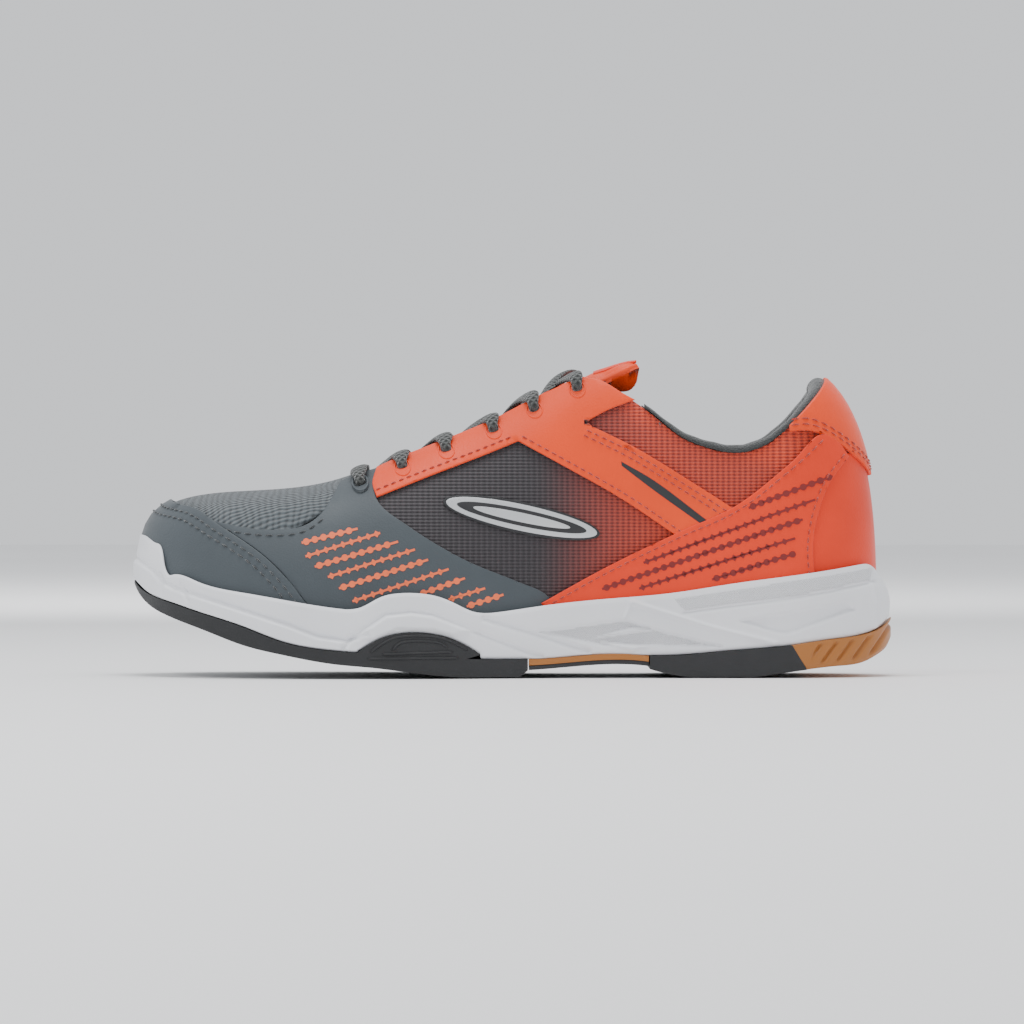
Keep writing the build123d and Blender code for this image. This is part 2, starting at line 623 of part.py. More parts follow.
def lacing():
    parts = {"lace": cord_tube(lace_route(), "lace")}
    for name, side in SIDES.items():
        parts[f"lace_tail_{name}"] = cord_tube(tail_route(side), f"lace tail, {name}")
        before, last = [Vector(*point) for point in TAIL_FLOOR[side][-2:]]
        end = Plane(origin=last, z_dir=last - before)
        aglet = extrude(end * Circle(AGLET_DIAMETER / 2), amount=AGLET_LENGTH)
        parts[f"aglet_{name}"] = chamfer(aglet.edges().sort_by(lambda e: (e.center() - last).length)[-1:],
                                         0.8)
    return parts


PUNCHED = ("eyestay", "eyestay_lining", "quarter_mesh", "vamp_overlay")


def build():
    parts = {
        "midsole": midsole(),
        "outsole_forefoot": outsole_forefoot(),
        "outsole_rearfoot": outsole_rearfoot(),
        "outsole_heel_gum": outsole_heel_gum(),
        "outsole_arch_gum": outsole_arch_gum(),
        "torsion_shank": torsion_shank(),
        "strobel_board": floor_sheet(-5.4, 0.0, STROBEL_THICK),
        "sockliner": floor_sheet(-5.8, STROBEL_THICK + GLUE, STROBEL_THICK + SOCKLINER_THICK),
    }
    for panels in (toe_panels, heel_panels, tongue_panels):
        parts.update(panels())
    for side_name, side in SIDES.items():
        holes = [eyelet_hole(side, row) for row in range(len(EYELET_STATIONS))]
        for name, solid in side_panels(side_name, side):
            parts[f"{name}_{side_name}"] = solid - holes if name in PUNCHED else solid
    parts.update(lacing())
    return parts


os.makedirs("parts", exist_ok=True)
for node, solid in build().items():
    export_step(solid, f"parts/{node}.step")
    if not solid.is_valid or solid.volume <= 0:
        print(node, "is not a valid solid", round(solid.volume, 1))
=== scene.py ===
"""Court shoe, left foot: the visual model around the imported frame.

Shapes are worked out in millimetres on the same last as the CAD model, and turned into metres when a
mesh is made. A place on the last is (station, height, distance outside): the station is x along the
sides and runs on round the toe or the heel.
"""
import math

import bmesh
import bpy
import numpy as np
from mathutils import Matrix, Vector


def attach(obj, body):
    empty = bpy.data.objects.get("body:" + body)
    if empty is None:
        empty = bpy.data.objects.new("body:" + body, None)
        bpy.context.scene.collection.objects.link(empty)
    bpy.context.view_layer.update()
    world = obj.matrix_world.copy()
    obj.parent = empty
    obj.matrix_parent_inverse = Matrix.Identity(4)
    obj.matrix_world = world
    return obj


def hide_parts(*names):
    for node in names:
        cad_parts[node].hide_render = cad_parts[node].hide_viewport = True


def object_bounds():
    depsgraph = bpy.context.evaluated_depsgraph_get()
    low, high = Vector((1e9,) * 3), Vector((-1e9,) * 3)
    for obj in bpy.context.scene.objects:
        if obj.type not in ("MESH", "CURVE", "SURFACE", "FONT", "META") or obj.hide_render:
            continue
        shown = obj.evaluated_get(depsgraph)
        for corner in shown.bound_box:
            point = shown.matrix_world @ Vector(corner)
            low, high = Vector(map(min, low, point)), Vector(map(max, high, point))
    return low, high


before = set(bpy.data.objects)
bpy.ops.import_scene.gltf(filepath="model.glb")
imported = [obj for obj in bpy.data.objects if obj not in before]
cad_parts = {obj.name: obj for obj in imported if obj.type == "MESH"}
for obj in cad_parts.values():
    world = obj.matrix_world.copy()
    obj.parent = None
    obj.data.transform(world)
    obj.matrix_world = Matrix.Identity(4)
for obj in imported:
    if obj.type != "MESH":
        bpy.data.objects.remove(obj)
cad_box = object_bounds()

MM = 0.001
UV_PER_MM = 0.01
LATERAL, MEDIAL = 1, -1
SIDES = {"lateral": LATERAL, "medial": MEDIAL}
BODY, TONGUE_BODY = "shoe", "tongue"

# The last
TOE_POLE, TOE_REACH = 68.0, 73.5
HEEL_POLE, HEEL_REACH = -100.0, 38.5
TOE_END = TOE_POLE + TOE_REACH
HEEL_END = HEEL_POLE - HEEL_REACH
TOE_SWING = 9.0
SOLE_GROW, CUP_GROW = 5.6, 2.9
TOE_GROW, HEEL_GROW = 0.625, 1.16

# Lacing
EYELET_STATIONS = [57.0, 41.0, 24.5, 6.5, -9.0, -25.0]
EYELET_ROWS = len(EYELET_STATIONS)
EYELET_DROP = 4.8
EYELET_RADIUS, EYELET_CORD = 2.9, 0.35
LACE_DIAMETER, LACE_OVER, LACE_UNDER = 3.0, 3.6, -3.7


def smooth(points):
    """A natural cubic spline through a few points of (position, value), as a function."""
    x, y = np.array(sorted(points), float).T
    h = np.diff(x)
    a, b = np.eye(len(x)), np.zeros(len(x))
    for i in range(1, len(x) - 1):
        a[i, i - 1:i + 2] = h[i - 1], 2 * (h[i - 1] + h[i]), h[i]
        b[i] = 6 * ((y[i + 1] - y[i]) / h[i] - (y[i] - y[i - 1]) / h[i - 1])
    m = np.linalg.solve(a, b)

    def at(t):
        t = np.clip(t, x[0], x[-1])
        i = np.clip(np.searchsorted(x, t) - 1, 0, len(x) - 2)
        p, q = (x[i + 1] - t) / h[i], (t - x[i]) / h[i]
        return p * y[i] + q * y[i + 1] + ((p**3 - p) * m[i] + (q**3 - q) * m[i + 1]) * h[i] ** 2 / 6

    return at


HALF_WIDTH = {
    LATERAL: smooth([(-130, 32), (-100, 32), (-70, 32), (-40, 32.5), (-10, 36), (20, 42), (45, 46.6),
                     (68, 47.73), (90, 46.7)]),
    MEDIAL: smooth([(-130, 32), (-100, 32), (-70, 31), (-40, 28.5), (-10, 29.5), (20, 37), (45, 45),
                    (68, 47.77), (90, 46.3)]),
}
FEATHER = smooth([(-145, 25), (-120, 24.5), (-85, 22.8), (-50, 19), (-20, 15.5), (10, 13.6), (40, 13.8),
                  (75, 17), (105, 22.6), (125, 28), (145, 34)])
CREST = smooth([(-145, 117), (-115, 117), (-75, 121), (-45, 122), (-24, 119.8), (-5, 107.9), (20, 93.7),
                (44, 83.4), (68, 74.2), (85, 71.2), (110, 70.3), (145, 70.5)])
SQUARE = smooth([(-138.5, 2.6), (-100, 3.2), (-50, 3.1), (-24, 2.75), (30, 2.7), (68, 2.7), (105, 3.3),
                 (141.5, 4.5)])
TOP_EDGE = smooth([(-138.5, 112), (-128, 111.3), (-119, 108.5), (-111, 103), (-105, 96.5), (-100, 90.8),
                   (-93, 86.6), (-84.4, 84.9), (-74, 86.8), (-63.7, 91), (-53.6, 99), (-44, 106),
                   (-34, 112), (-27, 113), (-18, 109.3), (-5.7, 103), (7.8, 96), (27, 88), (43.5, 81.6),
                   (60, 75.8), (68, 73.2)])


def unit(vectors):
    """Vectors along the last axis, scaled to length 1."""
    return vectors / np.linalg.norm(vectors, axis=-1, keepdims=True)


def circle(count):
    """Angles evenly round a circle."""
    return np.linspace(0, 2 * math.pi, count, endpoint=False)


def length_along(line):
    """Length of a line from its start to each of its points."""
    return np.concatenate([[0], np.cumsum(np.linalg.norm(np.diff(line, axis=0), axis=1))])


def spine(x):
    """Sideways place of the middle of the toe box."""
    return -TOE_SWING * np.clip((x - TOE_POLE) / TOE_REACH, 0, 1.05) ** 2


def half_width(side, x):
    """Half width of the last at x, for one side or for an array of sides."""
    return np.where(np.asarray(side) > 0, HALF_WIDTH[LATERAL](x), HALF_WIDTH[MEDIAL](x))


def turns(station):
    """How far a station is round the toe and round the heel, as angles, and its x between the two."""
    toe = np.clip((station - TOE_POLE) / TOE_REACH, 0, 1) * math.pi / 2
    heel = np.clip((HEEL_POLE - station) / HEEL_REACH, 0, 1) * math.pi / 2
    return toe, heel, np.clip(station, HEEL_POLE, TOE_POLE)


def place(side, station, angle):
    """Point of the last at a station and a section angle, from 0 at the feather line."""
    toe, heel, middle = turns(station)
    forward = TOE_REACH * np.sin(toe) - HEEL_REACH * np.sin(heel)
    half = half_width(side, middle)
    power = 2 / SQUARE(station)
    inward = np.maximum(np.cos(angle), 0) ** power
    x = middle + forward * inward
    y = side * half * np.cos(toe) * np.cos(heel) * inward + spine(x)
    base = FEATHER(middle + forward)
    z = base + (CREST(x) - base) * np.maximum(np.sin(angle), 0) ** power
    return np.stack(np.broadcast_arrays(x, y, z), axis=-1)


def outward(side, station, angle):
    """Unit normal of the last, pointing out of the shoe."""
    ds, da = 0.2, 0.004
    angle = np.clip(angle, 0.02, math.pi / 2 - 0.02)
    along = place(side, station + ds, angle) - place(side, station - ds, angle)
    up = place(side, station, angle + da) - place(side, station, angle - da)
    return unit(-np.cross(along, up) * np.asarray(side)[..., None])


def halve(low, high, is_above):
    """Where a rising test becomes true between two arrays, by halving."""
    for _ in range(34):
        middle = (low + high) / 2
        above = is_above(middle)
        low, high = np.where(above, low, middle), np.where(above, middle, high)
    return (low + high) / 2


def angle_at(side, station, z):
    """Section angle at which the last has the height z."""
    shape = np.broadcast(side, station, z).shape
    return halve(np.zeros(shape), np.full(shape, math.pi / 2), lambda a: place(side, station, a)[..., 2] > z)


def station_at(side, x, z):
    """Station of the point of the last that lies at x and z."""
    shape = np.broadcast(side, x, z).shape
    test = lambda s: place(side, s, angle_at(side, s, z))[..., 0] > x
    return halve(np.full(shape, HEEL_END), np.full(shape, TOE_END), test)


def on_last(side, station, z, distance):
    """Point at a distance outside the last. A station past an end is on the other side."""
    side, station, z = np.broadcast_arrays(side, station, z)
    beyond = (station > TOE_END) | (station < HEEL_END)
    side = np.where(beyond, -side, side)
    station = np.where(station > TOE_END, 2 * TOE_END - station, station)
    station = np.where(station < HEEL_END, 2 * HEEL_END - station, station)
    angle = angle_at(side, station, z)
    return place(side, station, angle) + outward(side, station, angle) * np.asarray(distance)[..., None]


def crown(x, y):
    """Height of the last above a point in plan, for the vamp and the instep."""
    across = y - spine(x)
    side = np.where(across >= 0, LATERAL, MEDIAL)
    near = np.minimum(x, TOE_POLE)
    v = np.abs(across) / half_width(side, near)
    u = np.clip((x - TOE_POLE) / TOE_REACH, 0, None)
    turn = np.arctan2(u, v)
    station = np.where(u > 0, TOE_POLE + TOE_REACH * turn / (math.pi / 2), x)
    base = FEATHER(np.where(u > 0, TOE_POLE + TOE_REACH * np.sin(turn), x))
    power = SQUARE(station)
    return base + (CREST(x) - base) * np.clip(1 - np.hypot(u, v) ** power, 0, 1) ** (1 / power)


def crown_normal(x, y, step):
    """Upward unit normal of the last above a point in plan."""
    slope_x = (crown(x + step, y) - crown(x - step, y)) / (2 * step)
    slope_y = (crown(x, y + step) - crown(x, y - step)) / (2 * step)
    return unit(np.stack([-slope_x, -slope_y, np.ones_like(x)], axis=-1))


def on_crown(x, y, distance):
    """Point at a distance outside the last, above a point in plan."""
    x, y = np.broadcast_arrays(np.asarray(x, float), np.asarray(y, float))
    return np.stack([x, y, crown(x, y)], axis=-1) + crown_normal(x, y, 0.3) * np.asarray(distance)[..., None]


# ---- Mesh making

def add_piece(name, points, faces, look, body=BODY, slot=None, stands_for=(), uv=None, tint=None,
              flat=False):
    """Make an object from points in millimetres, with its look, its body and what it stands for."""
    mesh = bpy.data.meshes.new(name)
    mesh.from_pydata((np.asarray(points, float) * MM).tolist(), [], faces)
    mesh.validate()
    if uv is not None:
        layer = mesh.uv_layers.new(name="flat")
        loops = np.zeros(len(mesh.loops), int)
        mesh.loops.foreach_get("vertex_index", loops)
        layer.data.foreach_set("uv", (np.asarray(uv, float)[loops] * UV_PER_MM).ravel())
    if tint is not None:
        attribute = mesh.attributes.new("tint", "FLOAT", "POINT")
        attribute.data.foreach_set("value", np.asarray(tint, np.float32))
    work = bmesh.new()
    work.from_mesh(mesh)
    bmesh.ops.recalc_face_normals(work, faces=work.faces)
    work.to_mesh(mesh)
    work.free()
    mesh.polygons.foreach_set("use_smooth", np.full(len(mesh.polygons), not flat))
    mesh.materials.append(LOOK[look])
    piece = bpy.data.objects.new(name, mesh)
    bpy.context.collection.objects.link(piece)
    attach(piece, body)
    if stands_for:
        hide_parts(*stands_for)
    return piece


def through(points, spacing=1.6):
    """Evenly spaced points on a smooth open line through some points."""
    points = np.array([tuple(p) for p in points], float)
    before, after = 2 * points[0] - points[1], 2 * points[-1] - points[-2]
    padded = [before, *points, after]
    out = []
    for p0, p1, p2, p3 in zip(padded, padded[1:], padded[2:], padded[3:]):
        steps = max(1, round(float(np.linalg.norm(p2 - p1)) / spacing))
        d01, d12, d23 = (max(np.linalg.norm(b - a), 1e-6) ** 0.5 for a, b in ((p0, p1), (p1, p2), (p2, p3)))
        m1 = (p1 - p0) / d01 - (p2 - p0) / (d01 + d12) + (p2 - p1) / d12
        m2 = (p2 - p1) / d12 - (p3 - p1) / (d12 + d23) + (p3 - p2) / d23
        for k in range(steps):
            t = k / steps
            h00, h10 = 2 * t**3 - 3 * t**2 + 1, t**3 - 2 * t**2 + t
            h01, h11 = -2 * t**3 + 3 * t**2, t**3 - t**2
            out.append(h00 * p1 + h10 * d12 * m1 + h01 * p2 + h11 * d12 * m2)
    out.append(points[-1])
    return np.array(out)


def to_station(side_view):
    """Side-view points (x, z) as (station, z) on the lateral side."""
    side_view = np.asarray(side_view, float)
    return np.stack([station_at(LATERAL, side_view[:, 0], side_view[:, 1]), side_view[:, 1]], axis=-1)


def sheet_from_outline(outline, low, high, rounding, cell=3.5):
    """Closed thin solid over a 2D outline, as points (u, v, distance) and faces, with rounded upper edges."""
    work = bmesh.new()
    ring = [work.verts.new((u, v, 0)) for u, v in outline]
    work.faces.new(ring)
    lo, hi = outline.min(0), outline.max(0)
    for axis in (0, 1):
        normal = (1, 0, 0) if axis == 0 else (0, 1, 0)
        for cut in np.arange(lo[axis] + cell / 2, hi[axis], cell):
            spot = (cut, 0, 0) if axis == 0 else (0, cut, 0)
            everything = work.verts[:] + work.edges[:] + work.faces[:]
            bmesh.ops.bisect_plane(work, geom=everything, dist=1e-4, plane_co=spot, plane_no=normal)
    work.verts.index_update()
    rim = [e for e in work.edges if e.is_boundary]
    out_dir = {}
    for e in rim:
        face = e.link_faces[0]
        a, b = e.verts
        d = (b.co - a.co).xy
        if d.length < 1e-9:
            continue
        n = np.array([d.y, -d.x]) / d.length
        middle = (a.co + b.co) / 2
        centre = face.calc_center_median()
        if n @ np.array([middle.x - centre.x, middle.y - centre.y]) < 0:
            n = -n
        for vert in (a, b):
            out_dir.setdefault(vert.index, []).append(n)
    count = len(work.verts)
    flat = np.array([v.co for v in work.verts])[:, :2]
    push = np.zeros((count, 2))
    for index, normals in out_dir.items():
        total = np.sum(normals, axis=0)
        push[index] = total / max(np.linalg.norm(total), 0.35)
    rounding = min(rounding, (high - low) * 0.8)
    steps = [(0.0, 0.0), (0.45, 0.12), (0.8, 0.4), (1.0, 1.0)]
    points = []
    for out, down in steps:
        points.append(np.column_stack([flat + push * (out - 1) * rounding,
                                       np.full(count, high - down * rounding)]))
    points.append(np.column_stack([flat, np.full(count, low)]))
    faces = [[v.index for v in f.verts] for f in work.faces]
    bottom = 4 * count
    faces += [[bottom + i for i in reversed(f)] for f in faces[:]]
    for e in rim:
        a, b = (v.index for v in e.verts)
        for k in range(4):
            faces.append([k * count + a, k * count + b, (k + 1) * count + b, (k + 1) * count + a])
    work.free()
    points = np.concatenate(points)
    used = np.unique(np.concatenate([np.array(f) for f in faces]))
    number = np.full(len(points), -1)
    number[used] = np.arange(len(used))
    return points[used], [[int(number[i]) for i in f] for f in faces]


def panel(name, outline, side, layer, look, rounding=0.35, tint=None, **options):
    """A panel of the upper over an outline in (station, height)."""
    points, faces = sheet_from_outline(outline, *layer, rounding)
    placed = on_last(side, points[:, 0], points[:, 1], points[:, 2])
    shade = tint(points[:, 0], points[:, 1]) if tint else None
    add_piece(name, placed, faces, look, uv=points[:, :2], tint=shade, **options)


def net(numbers, closed=False):
    """Faces between the rows of a grid of vertex numbers. Closed rows run back to their first vertex."""
    if closed:
        numbers = np.concatenate([numbers, numbers[:, :1]], axis=1)
    corners = [numbers[:-1, :-1], numbers[:-1, 1:], numbers[1:, 1:], numbers[1:, :-1]]
    return np.stack(corners, axis=-1).reshape(-1, 4).tolist()


def numbered(rows, columns):
    """Vertex numbers of a grid of points."""
    return np.arange(rows * columns).reshape(rows, columns)


def tube_faces(rings, count):
    """Faces of a tube made of rings of points, capped at both ends."""
    numbers = numbered(rings, count)
    return net(numbers, closed=True) + [numbers[0].tolist(), numbers[-1, ::-1].tolist()]


def stitch_line(path, side, distance, pitch=3.1, length=2.2, radius=0.34):
    """Stitches along a path of (station, height), as points and faces; each is a small arched thread."""
    path = np.asarray(path, float)
    along = length_along(path)
    starts = np.arange(0.5, along[-1] - length, pitch)
    arch = np.linspace(0, 1, 6)
    turn = circle(6)
    points, faces = [], []
    s = starts[:, None] + arch * length
    u, v = np.interp(s, along, path[:, 0]), np.interp(s, along, path[:, 1])
    lifts = [0.3 * np.sin(math.pi * arch) - 0.12, 1.3, 0.3]
    middle, above, below = (on_last(side, u, v, distance + lift + 0 * u) for lift in lifts)
    normal = unit(above - below)
    tangent = unit(np.gradient(middle, axis=1))
    across = np.cross(tangent, normal)
    fat = radius * np.array([0.45, 0.85, 1.0, 1.0, 0.85, 0.45])
    for k in range(len(starts)):
        base = len(points)
        for i in range(6):
            for t in turn:
                way = normal[k, i] * math.sin(t) + across[k, i] * math.cos(t)
                points.append(middle[k, i] + fat[i] * way)
        faces += [[base + i for i in face] for face in tube_faces(6, 6)]
    return np.array(points), faces


def merge(parts):
    """Several pairs of points and faces as one pair."""
    points, faces, total = [], [], 0
    for p, f in parts:
        points.append(np.asarray(p).reshape(-1, 3))
        faces += [[i + total for i in face] for face in f]
        total += len(points[-1])
    return np.concatenate(points), faces


def stitches(name, paths, side, distance, look):
    """Stitches along several paths of (station, height), as one piece."""
    points, faces = merge([stitch_line(path, side, distance) for path in paths])
    add_piece(name, points, faces, look)


# ---- Materials

class Look:
    """A material being built: its principled shader, and short ways to add nodes to it."""

    def __init__(self, name, color, roughness, sheen=0.0, coat=0.0):
        self.material = bpy.data.materials.new(name)
        self.material.use_nodes = True
        self.shader = self.material.node_tree.nodes["Principled BSDF"]
        self.normal = None
        self.fill(self.shader, {"Base Color": (*color, 1), "Roughness": roughness, "Sheen Weight": sheen,
                                "Coat Weight": coat})

    def fill(self, node, inputs):
        """Give a node's inputs their values. A socket is linked, and None leaves an input alone."""
        for key, value in inputs.items():
            if isinstance(value, bpy.types.NodeSocket):
                self.material.node_tree.links.new(value, node.inputs[key])
            elif value is not None:
                node.inputs[key].default_value = value

    def node(self, kind, inputs, **settings):
        """A new node with its settings and inputs."""
        node = self.material.node_tree.nodes.new("ShaderNode" + kind)
        for key, value in settings.items():
            setattr(node, key, value)
        self.fill(node, inputs)
        return node

    def where(self):
        """The object's own coordinates."""
        return self.node("TexCoord", {}).outputs["Object"]

    def flat(self):
        """Coordinates of the piece laid out flat."""
        return self.node("UVMap", {}, uv_map="flat").outputs["UV"]

    def tint(self):
        """The piece's tint attribute, from 0 to 1: a colour blend on the knits, and on the midsole where it
        is hatched, which moulded looks darken as painted shade.
        """
        return self.node("Attribute", {}, attribute_name="tint").outputs["Fac"]

    def noise(self, scale, detail, where, output="Fac"):
        """Noise over some coordinates."""
        inputs = {"Scale": scale, "Detail": detail, "Vector": where}
        return self.node("TexNoise", inputs).outputs[output]

    def cells(self, scale, where, feature="F1"):
        """Distance from the middles of small irregular cells."""
        inputs = {"Scale": scale, "Vector": where}
        return self.node("TexVoronoi", inputs, feature=feature).outputs["Distance"]

    def ramp(self, source, *stops):
        """Colour from a value, with stops of (position, colour)."""
        node = self.node("ValToRGB", {"Fac": source})
        elements = node.color_ramp.elements
        while len(elements) < len(stops):
            elements.new(0.5)
        for element, (at, color) in zip(elements, stops):
            element.position = at
            element.color = (*color, 1)
        return node.outputs["Color"]

    def calc(self, operation, a, b=None):
        """Result of one math operation on sockets or numbers."""
        return self.node("Math", {0: a, 1: b}, operation=operation).outputs[0]

    def mix(self, share, first, second, blend="MIX"):
        """Mix of two colours."""
        inputs = {"Fac": share, "Color1": first, "Color2": second}
        return self.node("MixRGB", inputs, blend_type=blend).outputs["Color"]

    def bump(self, height, strength, distance):
        """Bump on the shader's normal, laid over the bumps before it."""
        inputs = {"Height": height, "Strength": strength, "Distance": distance, "Normal": self.normal}
        self.normal = self.node("Bump", inputs).outputs["Normal"]
        self.fill(self.shader, {"Normal": self.normal})

    def waves(self, flat, cell_u, cell_v):
        """The first flat coordinate as a wave's angle, and two slanted waves that cross."""
        split = self.node("SeparateXYZ", {"Vector": flat}).outputs
        turn = 2 * math.pi / UV_PER_MM
        u = self.calc("MULTIPLY", split["X"], turn / cell_u)
        v = self.calc("MULTIPLY", split["Y"], turn / cell_v)
        return u, *[self.calc("SINE", self.calc(sign, u, v)) for sign in ("ADD", "SUBTRACT")]

    def share(self, wave):
        """A wave from -1 to 1 brought to 0 to 1."""
        return self.calc("ADD", self.calc("MULTIPLY", wave, 0.5), 0.5)


def scaled(color, factor):
    """Colour made lighter or darker."""
    return tuple(min(1.0, c * factor) for c in color)


def synthetic(name, color, roughness):
    """Coated microfibre: fine pebble grain, slightly uneven colour, a soft sheen."""
    look = Look(name, color, roughness, sheen=0.12)
    where = look.where()
    cloud = look.noise(26.0, 5.0, where)
    tone = look.ramp(cloud, (0.3, scaled(color, 0.9)), (0.7, scaled(color, 1.08)))
    gloss = look.ramp(cloud, (0.3, (roughness + 0.06,) * 3), (0.7, (roughness - 0.06,) * 3))
    look.fill(look.shader, {"Base Color": tone, "Roughness": gloss, "Sheen Roughness": 0.4,
                            "Specular IOR Level": 0.35})
    look.bump(look.cells(1500.0, where, "SMOOTH_F1"), 0.22, 0.0003)
    look.bump(look.noise(240.0, 3.0, where), 0.12, 0.0006)
    return look.material


def knit(name, dark, light, cell_u, cell_v, tinted=None, swirl=0.0):
    """Engineered mesh: a lattice of thick rounded yarns round small dark openings, laid out flat."""
    look = Look(name, dark, 0.8, sheen=0.35)
    flat = look.flat()
    if swirl:
        flat = look.mix(swirl, flat, look.noise(7.0, 2.0, flat, "Color"), "ADD")
    u, one, other = look.waves(flat, cell_u, cell_v)
    lattice = look.calc("MULTIPLY", one, other)
    fine = look.calc("SINE", look.calc("MULTIPLY", u, 4.0))
    height = look.calc("ADD", lattice, look.calc("MULTIPLY", fine, 0.16))
    share = look.share(lattice)
    color = look.ramp(share, (0.06, scaled(dark, 0.5)), (0.36, dark), (0.85, light))
    if tinted:
        deep, pale = tinted
        warm = look.ramp(share, (0.06, scaled(deep, 0.5)), (0.36, deep), (0.85, pale))
        color = look.mix(look.tint(), color, warm)
    look.fill(look.shader, {"Base Color": color})
    look.bump(height, 0.55, 0.0007)
    look.bump(look.noise(2200.0, 2.0, look.where()), 0.25, 0.0003)
    return look.material


def cloth(name, color, scale=1300.0):
    """Fine brushed knit."""
    look = Look(name, color, 0.92, sheen=0.5)
    where = look.where()
    cells = look.cells(scale, where)
    tone = look.ramp(cells, (0.1, scaled(color, 1.35)), (0.75, scaled(color, 0.6)))
    look.fill(look.shader, {"Base Color": tone})
    look.bump(cells, 0.5, 0.0006)
    look.bump(look.noise(160.0, 4.0, where), 0.2, 0.001)
    return look.material


def moulded(name, color, roughness, grain=700.0, strength=0.15, wear=1.1, coat=0.0, metal=0.0):
    """Moulded foam or rubber: faint cloudiness, fine skin texture, and hatching where the tint attribute is
    set, bumped and darkened in colour as painted shade.
    """
    look = Look(name, color, roughness, coat=coat)
    where = look.where()
    tone = look.ramp(look.noise(18.0, 6.0, where), (0.3, scaled(color, 0.93)), (0.7, scaled(color, wear)))
    rough = look.ramp(look.noise(90.0, 4.0, where), (0.3, (roughness - 0.07,) * 3),
                      (0.7, (roughness + 0.07,) * 3))
    look.bump(look.noise(grain, 3.0, where), strength, 0.0004)
    _, one, other = look.waves(look.flat(), HATCH_CELL, HATCH_CELL)
    crossed = look.calc("MINIMUM", look.calc("ABSOLUTE", one), look.calc("ABSOLUTE", other))
    hatch = look.calc("MULTIPLY", crossed, look.tint())
    look.bump(hatch, 0.6, 0.0006)
    # Painted shade: the colour darkens with the hatch pattern, standing in for the shade in its fine relief.
    color = look.mix(look.calc("MULTIPLY", hatch, 0.6), tone, (*scaled(color, 0.78), 1))
    look.fill(look.shader, {"Base Color": color, "Roughness": rough, "Metallic": metal})
    return look.material


def braid(name, color):
    """Braided lace: crossing yarns that run along and round the cord."""
    look = Look(name, color, 0.85, sheen=0.4)
    _, one, other = look.waves(look.flat(), 2.2, 2.0)
    height = look.calc("MAXIMUM", one, other)
    tone = look.ramp(look.share(height), (0.2, scaled(color, 0.45)), (0.9, scaled(color, 1.5)))
    look.fill(look.shader, {"Base Color": tone})
    look.bump(height, 0.7, 0.0006)
    return look.material


HATCH_CELL = 1.9
ORANGE, RED_ORANGE = (0.88, 0.062, 0.004), (0.84, 0.04, 0.004)
GREY = (0.062, 0.075, 0.084)
LOOK = {
    "grey": synthetic("grey_synthetic", GREY, 0.55),
    "orange": synthetic("orange_synthetic", ORANGE, 0.48),
    "wing": synthetic("wing_synthetic", RED_ORANGE, 0.48),
    "vamp": knit("vamp_mesh", (0.05, 0.062, 0.07), (0.09, 0.108, 0.118), 5.2, 2.8, swirl=0.06),
    "quarter": knit("quarter_mesh", (0.024, 0.02, 0.024), (0.045, 0.038, 0.043), 4.2, 2.6,
                    tinted=((0.5, 0.036, 0.012), (0.78, 0.075, 0.022))),
    "lining": cloth("lining_cloth", (0.035, 0.038, 0.038)),
    "insole": cloth("insole_cloth", (0.05, 0.05, 0.052), 800.0),
    "foam": moulded("midsole_foam", (0.83, 0.84, 0.87), 0.5, wear=1.02),
    "rubber": moulded("black_rubber", (0.011, 0.0115, 0.0125), 0.5, grain=1200.0, strength=0.3, wear=1.5),
    "gum": moulded("gum_rubber", (0.36, 0.125, 0.018), 0.42, grain=900.0, strength=0.2, wear=1.15, coat=0.1),
    "plastic": moulded("shank_plastic", (0.02, 0.02, 0.022), 0.4),
    "board": cloth("board_cloth", (0.5, 0.46, 0.38), 900.0),
    "lace": braid("lace_braid", (0.034, 0.037, 0.035)),
    "aglet": moulded("aglet_plastic", (0.04, 0.04, 0.042), 0.22, coat=0.5),
    "silver": moulded("silver_film", (0.6, 0.61, 0.62), 0.33, grain=1500.0, strength=0.12, wear=1.15,
                      metal=0.55),
    "dark_print": moulded("dark_print", (0.02, 0.02, 0.022), 0.5),
    "orange_print": moulded("orange_print", (0.95, 0.16, 0.05), 0.5),
    "maroon_print": moulded("maroon_print", (0.2, 0.012, 0.01), 0.5),
    "thread_grey": cloth("thread_grey", (0.04, 0.046, 0.05), 2500.0),
    "thread_orange": cloth("thread_orange", (0.5, 0.03, 0.008), 2500.0),
}

# ---- Camera, floor and lights

CAMERA_AWAY, CAMERA_RAISE, CAMERA_ANGLE = 2.55, 0.012, 89.8
SUBJECT_AWAY = 2.6
SENSOR_MM = 36.0
PICTURE_WIDTH = 0.391
FLOOR_GAP = 0.0005
LAMP_AIM = (0, 0, 0.05)
# Name, place, width in metres, power in watts
LAMPS = [("key", (0.9, 0.9, 1.6), 0.7, 34), ("fill", (-1.4, 1.0, 0.8), 1.2, 6),
         ("top", (0.0, 0.1, 1.7), 0.9, 20), ("back", (0.2, -1.5, 0.9), 1.0, 14)]


